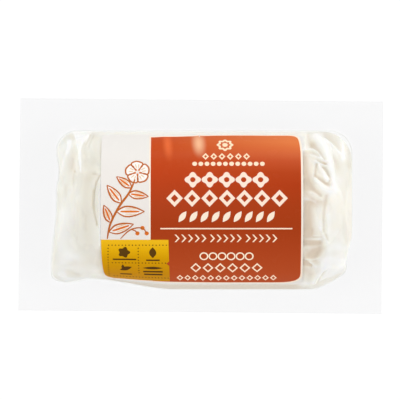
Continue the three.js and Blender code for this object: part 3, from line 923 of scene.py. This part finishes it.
def glossy_print(name, shaded_bands, shaded_bands_right=None, painted_sheens=()):
    """Paper or ink under the label's varnish. Its colour changes up the label, and to the label's
    right side where that is given; where these steps lighten or darken a print, they are painted light
    and shade over the curved label. Each sheen is a pale streak of painted highlight: place along,
    place up, half width, half length, strength and colour."""
    material, tree, output = new_material(name)
    place = add_node(tree, "ShaderNodeTexCoord")
    split = add_node(tree, "ShaderNodeSeparateXYZ", None, {"Vector": place.outputs["Object"]})
    colour = shaded_colour_bands(tree, split.outputs["Y"], shaded_bands)
    if shaded_bands_right:
        rightness = remapped(tree, split.outputs["X"], RIGHT_START * MM, RIGHT_END * MM)
        colour = mixed(tree, rightness, colour, shaded_colour_bands(tree, split.outputs["Y"], shaded_bands_right))
    # Painted highlights: each sheen is a paler streak blended into the colour.
    for along, up, half_width, half_length, strength, tint in painted_sheens:
        spot = add_node(tree, "ShaderNodeMapping", {"vector_type": "TEXTURE"}, {
            "Vector": place.outputs["Object"],
            "Location": (along * MM, up * MM, 0.0),
            "Rotation": (0.0, 0.0, PAINTED_SHEEN_TURN),
            "Scale": (half_width * MM, half_length * MM, 1.0),
        })
        flat = add_node(tree, "ShaderNodeVectorMath", {"operation": "MULTIPLY"}, {
            0: spot.outputs["Vector"],
            1: (1.0, 1.0, 0.0),
        })
        away = add_node(tree, "ShaderNodeVectorMath", {"operation": "LENGTH"}, {0: flat.outputs["Vector"]})
        share = add_node(tree, "ShaderNodeMapRange", {"interpolation_type": "SMOOTHSTEP"}, {
            "Value": away.outputs["Value"],
            "To Min": strength,
            "To Max": 0.0,
        })
        colour = mixed(tree, share.outputs["Result"], colour, (*tint, 1))
    varnish = add_node(tree, "ShaderNodeGroup", {"node_tree": label_varnish}, {
        "Scale": 300.0,
        "Ripple": 0.06,
    })
    ink = add_node(tree, "ShaderNodeBsdfPrincipled", None, {
        "Base Color": colour,
        "Roughness": varnish.outputs["Roughness"],
        "IOR": 1.5,
        "Specular IOR Level": 0.045,
        "Normal": varnish.outputs["Normal"],
    })
    tree.links.new(ink.outputs["BSDF"], output.inputs["Surface"])
    return material


def make_label(material):
    """The label's sheet. Its right end reaches a little further, as a pale rim beyond the orange."""
    knots_along = np.linspace(-LABEL_END, LABEL_END, LABEL_STEPS[0] + 1)
    knots_round = np.linspace(-LABEL_WIDTH / 2, LABEL_WIDTH / 2, LABEL_STEPS[1] + 1)
    along, around = grid_points(knots_along, knots_round)
    along, around = rounded_corner(along, around, LABEL_END, LABEL_WIDTH / 2, LABEL_CORNER)
    along = along + RIGHT_RIM * smooth(along / LABEL_END)
    upper = on_label(along, around, LABEL_TOP)
    lower = on_label(along, around, LABEL_UNDER)
    faces = slab_faces(len(knots_along), len(knots_round))
    return new_piece("label_stock", np.concatenate([upper, lower]), faces, material)


white_stock = glossy_print("label_stock", [
    (-20.0, (0.79, 0.75, 0.70)),
    (-8.0, (0.81, 0.76, 0.715)),
    (8.0, (0.80, 0.765, 0.725)),
    (18.0, (0.79, 0.765, 0.73)),
])
label = make_label(white_stock)
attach(label, "root")
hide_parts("label")

# Printed fields of the label: an orange field, and a yellow one at the lower left with a small
# notch in its right side. Each is a layer of ink a few hundredths of a millimetre thick.
INK = 0.02
CUT = 0.9
CUT_SNAP = 1e-5
RIM_WIDTH = 0.45
ORANGE_MIDDLE = (7.0, 0.0)
ORANGE_FIELD = [
    (-14.75, -24.7), (8.5, -25.0), (21.0, -25.1), (24.2, -24.95), (26.1, -24.6), (27.6, -23.95),
    (28.6, -23.0), (29.1, -21.9), (29.2, -20.4), (29.2, 13.0), (29.15, 17.5), (28.95, 20.5), (28.7, 22.6),
    (28.35, 24.0), (27.8, 24.8), (27.0, 25.3), (25.8, 25.55), (24.0, 25.6), (8.5, 25.5), (-4.0, 25.1),
    (-14.75, 24.4),
]
YELLOW_FIELD = [
    (-29.25, -9.2), (-29.2, -20.6), (-29.0, -22.6), (-28.3, -23.9), (-26.6, -24.75), (-20.0, -24.6),
    (-9.55, -24.5), (-9.45, -17.9), (-10.3, -17.0), (-9.45, -16.2), (-9.55, -9.25),
]
YELLOW_RIM = [
    (-29.0, -20.6), (-28.9, -23.3), (-28.3, -24.4), (-26.6, -25.2), (-20.0, -25.05), (-9.5, -25.0),
    (-9.5, -20.6),
]


def flat_shape(outlines):
    """A flat filled mesh of closed outlines; an outline within another is a hole."""
    shape = bmesh.new()
    edges = []
    for outline in outlines:
        corners = [shape.verts.new((x, y, 0)) for x, y in outline]
        edges += [shape.edges.new((corners[index - 1], corner)) for index, corner in enumerate(corners)]
    bmesh.ops.triangle_fill(shape, edges=edges, use_beauty=True, use_dissolve=False, normal=(0, 0, 1))
    return shape


def flat_mesh(outlines):
    mesh = bpy.data.meshes.new("part")
    shape = flat_shape(outlines)
    shape.to_mesh(mesh)
    shape.free()
    return mesh


def lay_on_label(name, shape, lift, material):
    """Cuts a flat shape into small squares, bends it round the label and gives it the ink's thickness."""
    low = Vector([min(vert.co[axis] for vert in shape.verts) for axis in range(3)])
    high = Vector([max(vert.co[axis] for vert in shape.verts) for axis in range(3)])
    for axis in range(2):
        across = Vector((axis == 0, axis == 1, 0))
        for step in range(math.floor(low[axis] / CUT) + 1, math.ceil(high[axis] / CUT)):
            parts = shape.verts[:] + shape.edges[:] + shape.faces[:]
            cut = across * step * CUT
            bmesh.ops.bisect_plane(shape, geom=parts, plane_co=cut, plane_no=across, dist=CUT_SNAP)
    bmesh.ops.recalc_face_normals(shape, faces=shape.faces)
    shape.verts.index_update()
    flat = np.array([vert.co[:2] for vert in shape.verts])
    faces = []
    for face in shape.faces:
        corners = [vert.index for vert in face.verts]
        faces.append(corners if face.normal.z > 0 else corners[::-1])
    used = {(a, b) for face in faces for a, b in zip(face, face[1:] + face[:1])}
    rim = [(a, b) for a, b in used if (b, a) not in used]
    shape.free()
    upper = on_label(flat[:, 0], flat[:, 1], LABEL_TOP + lift)
    lower = on_label(flat[:, 0], flat[:, 1], LABEL_TOP - INK)
    count = len(flat)
    under = [[corner + count for corner in face[::-1]] for face in faces]
    sides = [[a, a + count, b + count, b] for a, b in sorted(rim)]
    return new_piece(name, np.concatenate([upper, lower]), faces + under + sides, material)


def print_piece(name, shape, lift, material):
    piece = lay_on_label(name, shape, lift, material)
    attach(piece, "root")
    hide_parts("label")
    return piece


# Painted light in the orange ink: lighter at the label's top and foot than in its middle, much lighter at
# the top on the right; its two sheens are painted highlights.
orange_ink = glossy_print("orange_ink", [
    (-20.0, (0.45, 0.068, 0.016)),
    (-12.8, (0.41, 0.055, 0.012)),
    (-6.0, (0.385, 0.046, 0.009)),
    (0.0, (0.41, 0.05, 0.012)),
    (6.5, (0.46, 0.052, 0.011)),
    (10.0, (0.49, 0.055, 0.011)),
    (13.5, (0.505, 0.061, 0.011)),
    (17.0, (0.53, 0.067, 0.01)),
    (19.0, (0.53, 0.068, 0.011)),
], [
    (-20.0, (0.45, 0.068, 0.016)),
    (-12.8, (0.41, 0.055, 0.012)),
    (-6.0, (0.37, 0.045, 0.008)),
    (0.0, (0.38, 0.045, 0.008)),
    (6.5, (0.41, 0.044, 0.008)),
    (10.0, (0.435, 0.054, 0.011)),
    (13.5, (0.525, 0.083, 0.024)),
    (17.0, (0.67, 0.152, 0.043)),
    (19.0, (0.735, 0.198, 0.055)),
], [(-0.8, 18.4, 2.7, 5.0, 0.8, (0.93, 0.56, 0.33)), (-9.9, 18.0, 2.0, 6.0, 0.85, (0.78, 0.15, 0.04))])
# Painted shade: the yellow ink darkens towards the label's foot.
yellow_ink = glossy_print("yellow_ink", [
    (-20.0, (0.54, 0.235, 0.001)),
    (-15.3, (0.65, 0.325, 0.001)),
    (-13.0, (0.76, 0.41, 0.004)),
    (-10.5, (0.85, 0.48, 0.012)),
])
edge_cream = glossy_print("edge_cream", [
    (-22.0, (0.93, 0.76, 0.60)),
    (-15.0, (0.90, 0.76, 0.62)),
    (0.0, (0.93, 0.86, 0.75)),
    (19.0, (0.95, 0.78, 0.62)),
])


def wider(outline, middle, extra):
    """The same outline moved out along both axes from a middle place."""
    return [
        (x + math.copysign(extra, x - middle[0]), y + math.copysign(extra, y - middle[1]))
        for x, y in outline
    ]


def print_shapes(name, outlines, lift, material):
    """Prints closed outlines side by side in one piece."""
    whole = bmesh.new()
    for outline in outlines:
        mesh = flat_mesh([outline])
        whole.from_mesh(mesh)
        bpy.data.meshes.remove(mesh)
    print_piece(name, whole, lift, material)


print_piece("orange_rim", flat_shape([wider(ORANGE_FIELD, ORANGE_MIDDLE, RIM_WIDTH)]), INK / 2, edge_cream)
print_piece("yellow_rim", flat_shape([YELLOW_RIM]), INK / 2, edge_cream)
print_piece("orange_field", flat_shape([ORANGE_FIELD]), INK, orange_ink)
print_piece("yellow_field", flat_shape([YELLOW_FIELD]), 2 * INK, yellow_ink)

# Cream print on the orange field: rows of plain repeated shapes, from a small rosette at the top
# down to fine outlines at the foot, with one level rule among them.
LEAF_STEPS = 8
ROSETTE_PLACE = (7.0, 20.6)


def lozenge(half_across, half_up):
    return [(-half_across, 0), (0, -half_up), (half_across, 0), (0, half_up)]


def lobes(radius, count, dip, corners):
    """An outline of round lobes: the dip is how far it goes in between them, as a share."""
    turns = [math.tau * step / corners for step in range(corners)]
    reaches = [radius * (1 - dip * (0.5 - 0.5 * math.cos(count * turn))) for turn in turns]
    return [(reach * math.cos(turn), reach * math.sin(turn)) for reach, turn in zip(reaches, turns)]


def moved(outline, place):
    return [(x + place[0], y + place[1]) for x, y in outline]


def leaf(length, width, turn):
    """A leaf pointed at both ends, about its middle, turned anticlockwise."""
    shares = [step / LEAF_STEPS for step in range(LEAF_STEPS)]
    lower = [(length * (share - 0.5), -width / 2 * math.sin(math.pi * share)) for share in shares]
    upper = [(-x, -y) for x, y in lower]
    sine = math.sin(turn)
    cosine = math.cos(turn)
    return [(x * cosine - y * sine, x * sine + y * cosine) for x, y in lower + upper]


def printed_row_tree():
    """Geometry nodes that set one flat shape along a straight line at even steps."""
    tree = bpy.data.node_groups.new("printed_row", "GeometryNodeTree")
    for name, kind in (
        ("Shape", "NodeSocketObject"),
        ("First", "NodeSocketVector"),
        ("Step", "NodeSocketVector"),
        ("Count", "NodeSocketInt"),
        ("Ink", "NodeSocketMaterial"),
    ):
        tree.interface.new_socket(name, in_out="INPUT", socket_type=kind)
    tree.interface.new_socket("Geometry", in_out="OUTPUT", socket_type="NodeSocketGeometry")
    given = add_node(tree, "NodeGroupInput")
    line = add_node(tree, "GeometryNodeMeshLine", {"mode": "OFFSET"}, {
        "Count": given.outputs["Count"],
        "Start Location": given.outputs["First"],
        "Offset": given.outputs["Step"],
    })
    shape = add_node(tree, "GeometryNodeObjectInfo", None, {"Object": given.outputs["Shape"]})
    row = add_node(tree, "GeometryNodeInstanceOnPoints", None, {
        "Points": line.outputs["Mesh"],
        "Instance": shape.outputs["Geometry"],
    })
    real = add_node(tree, "GeometryNodeRealizeInstances", None, {"Geometry": row.outputs["Instances"]})
    inked = add_node(tree, "GeometryNodeSetMaterial", None, {
        "Geometry": real.outputs["Geometry"],
        "Material": given.outputs["Ink"],
    })
    add_node(tree, "NodeGroupOutput", None, {"Geometry": inked.outputs["Geometry"]})
    return tree


def print_row(name, outlines, first, step, count, ink):
    """Prints a row of one flat shape: the place of the first one, the step to the next, how many."""
    motif = new_object("motif", flat_mesh(outlines))
    carrier = new_object("row", bpy.data.meshes.new("row"))
    modifier = carrier.modifiers.new("row", "NODES")
    modifier.node_group = row_tree
    values = {"Shape": motif, "Count": count, "Ink": ink}
    values.update({"First": (*first, 0.0), "Step": (*step, 0.0)})
    for socket in row_tree.interface.items_tree:
        if socket.in_out == "INPUT":
            modifier[socket.identifier] = values[socket.name]
    laid_out = carrier.evaluated_get(bpy.context.evaluated_depsgraph_get())
    row_mesh = bpy.data.meshes.new_from_object(laid_out)
    carrier.modifiers.remove(modifier)
    row = bmesh.new()
    row.from_mesh(row_mesh)
    bpy.data.meshes.remove(row_mesh)
    for item in (motif, carrier):
        mesh = item.data
        bpy.data.objects.remove(item)
        bpy.data.meshes.remove(mesh)
    print_piece(name, row, 3 * INK, ink)


row_tree = printed_row_tree()
cream_ink = glossy_print("cream_ink", [
    (-20.0, (1.0, 0.76, 0.56)),
    (-14.5, (0.98, 0.82, 0.62)),
    (-9.0, (0.98, 0.76, 0.56)),
    (-3.5, (0.94, 0.79, 0.63)),
    (2.5, (0.94, 0.74, 0.60)),
    (8.5, (0.93, 0.74, 0.62)),
    (15.0, (0.95, 0.73, 0.49)),
    (19.0, (0.95, 0.75, 0.52)),
])
rosette = [lobes(2.5, 8, 0.2, 48), lobes(1.7, 8, 0.25, 48), lobes(0.95, 8, 0.3, 32)]
rosette = [moved(outline, ROSETTE_PLACE) for outline in rosette]
print_piece("cream_rosette", flat_shape(rosette), 3 * INK, cream_ink)
chevron = [(0.2, 0.0), (-0.75, -1.15), (-0.3, -1.15), (0.75, 0.0), (-0.3, 1.15), (-0.75, 1.15)]
rule = [(-11.9, -6.08), (26.6, -6.08), (26.6, -5.7), (-11.9, -5.7)]
# Each row: its shape's outlines, the place of the first one, the step to the next, how many.
for name, outlines, first, pitch, count in (
    ("small_lozenges", [lozenge(1.0, 1.2), lozenge(0.45, 0.55)], (1.3, 16.1), 2.4, 6),
    ("dots", [lobes(0.72, 1, 0.0, 10)], (-1.9, 13.55), 1.8, 12),
    ("quatrefoils", [lobes(2.4, 4, 0.3, 32), lobes(0.8, 1, 0.0, 12)], (-2.45, 8.5), 4.95, 5),
    ("large_lozenges", [lozenge(2.42, 2.5), lozenge(1.1, 1.15)], (-7.75, 2.95), 5.1, 7),
    ("leaves", [leaf(3.9, 1.7, 0.95)], (-5.45, -2.4), 3.22, 9),
    ("rule", [rule], (0.0, 0.0), 0.0, 1),
    ("chevrons_left", [chevron], (-7.0, -8.8), 1.95, 5),
    ("chevrons_middle", [chevron], (3.3, -8.8), 1.95, 5),
    ("chevrons_right", [chevron], (13.7, -8.8), 1.95, 5),
    ("rings", [lobes(1.3, 1, 0.0, 20), lobes(0.92, 1, 0.0, 16)], (0.8, -14.45), 2.65, 6),
    ("tall_lozenges", [lozenge(1.6, 1.75), lozenge(1.05, 1.15)], (-1.6, -18.5), 3.6, 6),
    ("small_rings", [lozenge(1.0, 1.25), lozenge(0.55, 0.75)], (-6.4, -22.65), 2.3, 13),
):
    print_row("cream_" + name, outlines, first, (pitch, 0.0), count, cream_ink)

# Drawing on the label's white panel: one leafy branch that climbs from the lower left to a small
# blossom at the upper right, in loose brown strokes with orange and pale ones inside, and berries.
PATH_STEPS = 6
STROKE_TIP = 0.35
BRANCHES = [
    ([(-27.4, -9.0), (-26.5, -4.6), (-24.0, 0.4), (-21.0, 4.6), (-19.3, 8.6)], 0.65),
    ([(-23.6, -9.0), (-21.2, -6.6), (-18.9, -5.7), (-17.1, -5.7)], 0.4),
    ([(-20.2, -6.2), (-19.2, -6.6), (-18.6, -7.3)], 0.35),
    ([(-18.2, -5.6), (-16.7, -6.1), (-15.9, -7.3)], 0.35),
]
BERRIES = [(-17.1, -5.7), (-15.9, -7.3), (-18.6, -7.3)]
BERRY = 0.62
BLOSSOM = (-18.6, 10.9)
PETALS = [0.35 + math.tau * step / 5 for step in range(5)]
PETAL_SIZE = (3.5, 3.3)
PETAL_WHITE = (3.45, 3.2)
PETAL_KNOTS = [
    (0.22, 0.1), (0.5, 0.42), (0.82, 0.5), (1.0, 0.12), (0.96, -0.16), (0.78, -0.48), (0.48, -0.4),
    (0.22, -0.1),
]
PETAL_STROKE = 0.45
VEIN_TURN = 0.2
VEIN_REACHES = (1.3, 1.9, 2.6)
STAMEN = 0.3
STAMEN_REACH = 0.75
STAMEN_TURN = 0.6
# Each leaf: its foot on the branch, which way it points, its length and its half width.
BRANCH_LEAVES = [
    ((-26.9, -6.9), 18, 7.6, 1.35),
    ((-26.3, -4.2), 112, 5.6, 1.1),
    ((-24.7, -0.9), 0, 8.2, 1.5),
    ((-23.3, 1.5), 128, 6.8, 1.3),
    ((-21.3, 4.3), -8, 6.0, 1.15),
    ((-20.3, 6.0), 142, 5.6, 1.1),
]
LEAF_KNOTS = [(0.0, 0.0), (0.28, 0.92), (0.64, 0.8), (1.0, 0.0)]
LEAF_STROKES = (0.5, 0.42)
MIDRIB = (0.14, 0.82)
MIDRIB_STROKE = 0.6
SIDE_VEIN = (0.3, 0.7)
SIDE_VEIN_OUT = 0.5
PALE_STROKE = 0.28


def smooth_path(knots):
    """A smooth curve through the knots."""
    points = [knots[0], *knots, knots[-1]]
    curve = []
    for index in range(1, len(points) - 2):
        before, start, end, after = (Vector(points[index + shift]) for shift in (-1, 0, 1, 2))
        for step in range(PATH_STEPS):
            share = step / PATH_STEPS
            curve.append(0.5 * (
                2 * start + (end - before) * share + (2 * before - 5 * start + 4 * end - after) * share**2
                + (3 * start - before - 3 * end + after) * share**3
            ))
    return curve + [Vector(knots[-1])]


def brush_stroke(knots, width):
    """The outline of a stroke along a curve, tapered at both ends."""
    curve = smooth_path(knots)
    left = []
    right = []
    for index, point in enumerate(curve):
        way = curve[min(index + 1, len(curve) - 1)] - curve[max(index - 1, 0)]
        out = Vector((-way.y, way.x)).normalized()
        share = index / (len(curve) - 1)
        half = width / 2 * (STROKE_TIP + (1 - STROKE_TIP) * math.sin(math.pi * share) ** 0.5)
        left.append(tuple(point + out * half))
        right.append(tuple(point - out * half))
    return right + left[::-1]


def beside(foot, turn, along, across):
    """A place beside a line: along it from its foot and across it to the left."""
    x = foot[0] + along * math.cos(turn) - across * math.sin(turn)
    y = foot[1] + along * math.sin(turn) + across * math.cos(turn)
    return x, y


def petal(turn, length, width):
    """Knots of a petal's outline from the blossom's middle out and back."""
    return [beside(BLOSSOM, turn, length * along, width * across) for along, across in PETAL_KNOTS]


def leaf_side(foot, turn, length, half_width):
    """Knots along one side of a leaf, from its foot to its tip."""
    return [beside(foot, turn, length * along, half_width * across) for along, across in LEAF_KNOTS]


def leaf_line(foot, turn, start, end, across):
    """Knots along a leaf from one place to another, beside its middle."""
    return [beside(foot, turn, start + (end - start) * share, across) for share in (0.0, 0.5, 1.0)]


brown_strokes = [brush_stroke(knots, width) for knots, width in BRANCHES]
brown_strokes += [brush_stroke(petal(turn, *PETAL_SIZE), PETAL_STROKE) for turn in PETALS]
orange_fills = [moved(lobes(BERRY, 1, 0.0, 12), place) for place in BERRIES]
pale_strokes = []
for turn in PETALS:
    middle = beside(BLOSSOM, turn + STAMEN_TURN, STAMEN_REACH, 0.0)
    orange_fills.append(moved(lobes(STAMEN, 1, 0.0, 8), middle))
    for side in (-VEIN_TURN, VEIN_TURN):
        vein = [beside(BLOSSOM, turn + side, reach, 0.0) for reach in VEIN_REACHES]
        pale_strokes.append(brush_stroke(vein, PALE_STROKE))
white_fills = [[tuple(point) for point in smooth_path(petal(turn, *PETAL_WHITE))] for turn in PETALS]
for foot, degrees, length, half_width in BRANCH_LEAVES:
    turn = math.radians(degrees)
    left = leaf_side(foot, turn, length, half_width)
    right = leaf_side(foot, turn, length, -half_width)
    brown_strokes += [brush_stroke(side, width) for side, width in zip((left, right), LEAF_STROKES)]
    midrib = leaf_line(foot, turn, MIDRIB[0] * length, MIDRIB[1] * length, 0.0)
    orange_fills.append(brush_stroke(midrib, MIDRIB_STROKE))
    for out in (-SIDE_VEIN_OUT, SIDE_VEIN_OUT):
        vein = leaf_line(foot, turn, SIDE_VEIN[0] * length, SIDE_VEIN[1] * length, out * half_width)
        pale_strokes.append(brush_stroke(vein, PALE_STROKE))
    outline = smooth_path(right) + smooth_path(left)[::-1]
    white_fills.append([tuple(point) for point in outline[1:-1]])
# Each layer of the drawing: its shapes, how many layers of ink up it lies, and its ink's colours at
# the foot and at the top of the label, darker at the foot as painted shade.
for name, outlines, layers, ink, low, high in (
    ("white_fills", white_fills, 0.5, "white_ink", (0.84, 0.79, 0.74), (0.93, 0.90, 0.86)),
    ("pale_strokes", pale_strokes, 1.0, "pale_brown_ink", (0.76, 0.50, 0.28), (0.80, 0.56, 0.34)),
    ("orange_fills", orange_fills, 1.5, "drawn_orange_ink", (0.68, 0.16, 0.025), (0.74, 0.19, 0.03)),
    ("brown_strokes", brown_strokes, 2.0, "brown_ink", (0.46, 0.12, 0.024), (0.54, 0.15, 0.032)),
):
    drawing_ink = glossy_print(ink, [(-20.0, low), (18.0, high)])
    print_shapes("sprig_" + name, outlines, layers * INK, drawing_ink)

# Small print on the yellow field: dotted rules that part it into four, a small dark shape in each,
# and short dark bars under them.
DOT = 0.19
# Painted shade: the dark ink is darker towards the label's foot.
dark_ink = glossy_print("dark_ink", [(-20.0, (0.085, 0.036, 0.004)), (-10.0, (0.115, 0.052, 0.007))])
for name, first, step, count in (
    ("top", (-27.0, -10.9), (0.99, 0.0), 18),
    ("middle", (-26.2, -16.8), (0.98, 0.0), 17),
    ("low", (-26.3, -22.85), (0.96, 0.0), 18),
    ("left", (-27.2, -11.9), (-0.045, -0.98), 12),
    ("between", (-18.4, -11.9), (-0.02, -0.98), 10),
):
    print_row("dotted_rule_" + name, [lobes(DOT, 1, 0.0, 8)], first, step, count, dark_ink)
icons = [
    moved(lobes(1.85, 5, 0.3, 30), (-22.6, -13.2)),
    moved(leaf(3.5, 2.1, math.pi / 2), (-14.2, -13.3)),
    moved(leaf(3.9, 1.5, 0.35), (-22.4, -19.0)),
    moved(leaf(2.0, 0.9, 1.6), (-23.2, -18.4)),
    moved(leaf(6.0, 1.0, 0.0), (-14.4, -18.65)),
]
for left, right, middle, height in (
    (-26.0, -19.1, -15.55, 0.5),
    (-16.2, -12.2, -15.8, 0.5),
    (-24.3, -20.8, -21.5, 0.5),
    (-17.3, -11.5, -20.1, 0.6),
    (-17.1, -11.6, -21.3, 0.6),
):
    low = middle - height / 2
    high = middle + height / 2
    icons.append([(left, low), (right, low), (right, high), (left, high)])
print_shapes("dark_shapes", icons, 3 * INK, dark_ink)

# Studio: a plain white table and backdrop in one, a wide low softbox behind the pack, one at each
# side, and a camera straight above, as far away as the photo's perspective asks.
FLOOR_REACH = 4.0
FLOOR_DROP = 0.00002


def make_floor():
    mesh = bpy.data.meshes.new("floor")
    corners = [(x * FLOOR_REACH, y * FLOOR_REACH, 0) for x, y in ((-1, -1), (1, -1), (1, 1), (-1, 1))]
    mesh.from_pydata(corners, [], [(0, 1, 2, 3)])
    floor = new_object("floor", mesh)
    floor.location.z = -FLOOR_DROP
    material, tree, output = new_material("white_table")
    paint = add_node(tree, "ShaderNodeBsdfPrincipled", None, {
        "Base Color": (0.05, 0.05, 0.05, 1),
        "Roughness": 0.7,
        "Emission Color": (1, 1, 1, 1),
        "Emission Strength": 0.965,
    })
    tree.links.new(paint.outputs["BSDF"], output.inputs["Surface"])
    mesh.materials.append(material)


def add_softbox(name, place, size, watts):
    lamp = bpy.data.lights.new(name, "AREA")
    lamp.shape = "RECTANGLE"
    lamp.size = size[0]
    lamp.size_y = size[1]
    lamp.energy = watts
    softbox = new_object(name, lamp)
    softbox.location = place
    softbox.rotation_euler = Vector(place).to_track_quat("Z", "Y").to_euler()


make_floor()
add_softbox("softbox_behind", (0.1, 1.3, 0.35), (1.8, 0.3), 4.5)
add_softbox("softbox_right", (0.9, -0.15, 0.95), (0.6, 1.0), 8.0)
add_softbox("softbox_left", (-0.9, -0.1, 0.95), (0.6, 1.0), 6.8)
# How bright the studio's walls are, from the ceiling to the foot of the wall behind the pack.
WALL_BANDS = [(0.0, 0.2), (0.4, 0.62), (0.72, 0.92), (1.0, 1.0)]


def make_studio_walls():
    """Walls all round, pale behind the pack, darker in front and at the ceiling over the camera."""
    world = bpy.data.worlds.new("studio")
    world.use_nodes = True
    tree = world.node_tree
    place = add_node(tree, "ShaderNodeTexCoord")
    lean = add_node(tree, "ShaderNodeVectorMath", {"operation": "DOT_PRODUCT"}, {
        0: place.outputs["Generated"],
        1: (0, 0.15, -1),
    })
    greys = [(position, (grey, grey, grey)) for position, grey in WALL_BANDS]
    walls = colour_ramp(tree, remapped(tree, lean.outputs["Value"], -1.0, 0.4), greys)
    tree.links.new(walls, tree.nodes["Background"].inputs["Color"])
    bpy.context.scene.world = world


make_studio_walls()
bpy.context.scene.view_settings.view_transform = "Standard"

camera_data = bpy.data.cameras.new("camera")
camera_data.lens = CAMERA_LENS
camera_data.sensor_width = CAMERA_SENSOR
camera = new_object("camera", camera_data)
camera.location = (*CAMERA_PLACE, CAMERA_HEIGHT)
camera.rotation_euler = (0, 0, LOG_TURN)
bpy.context.scene.camera = camera
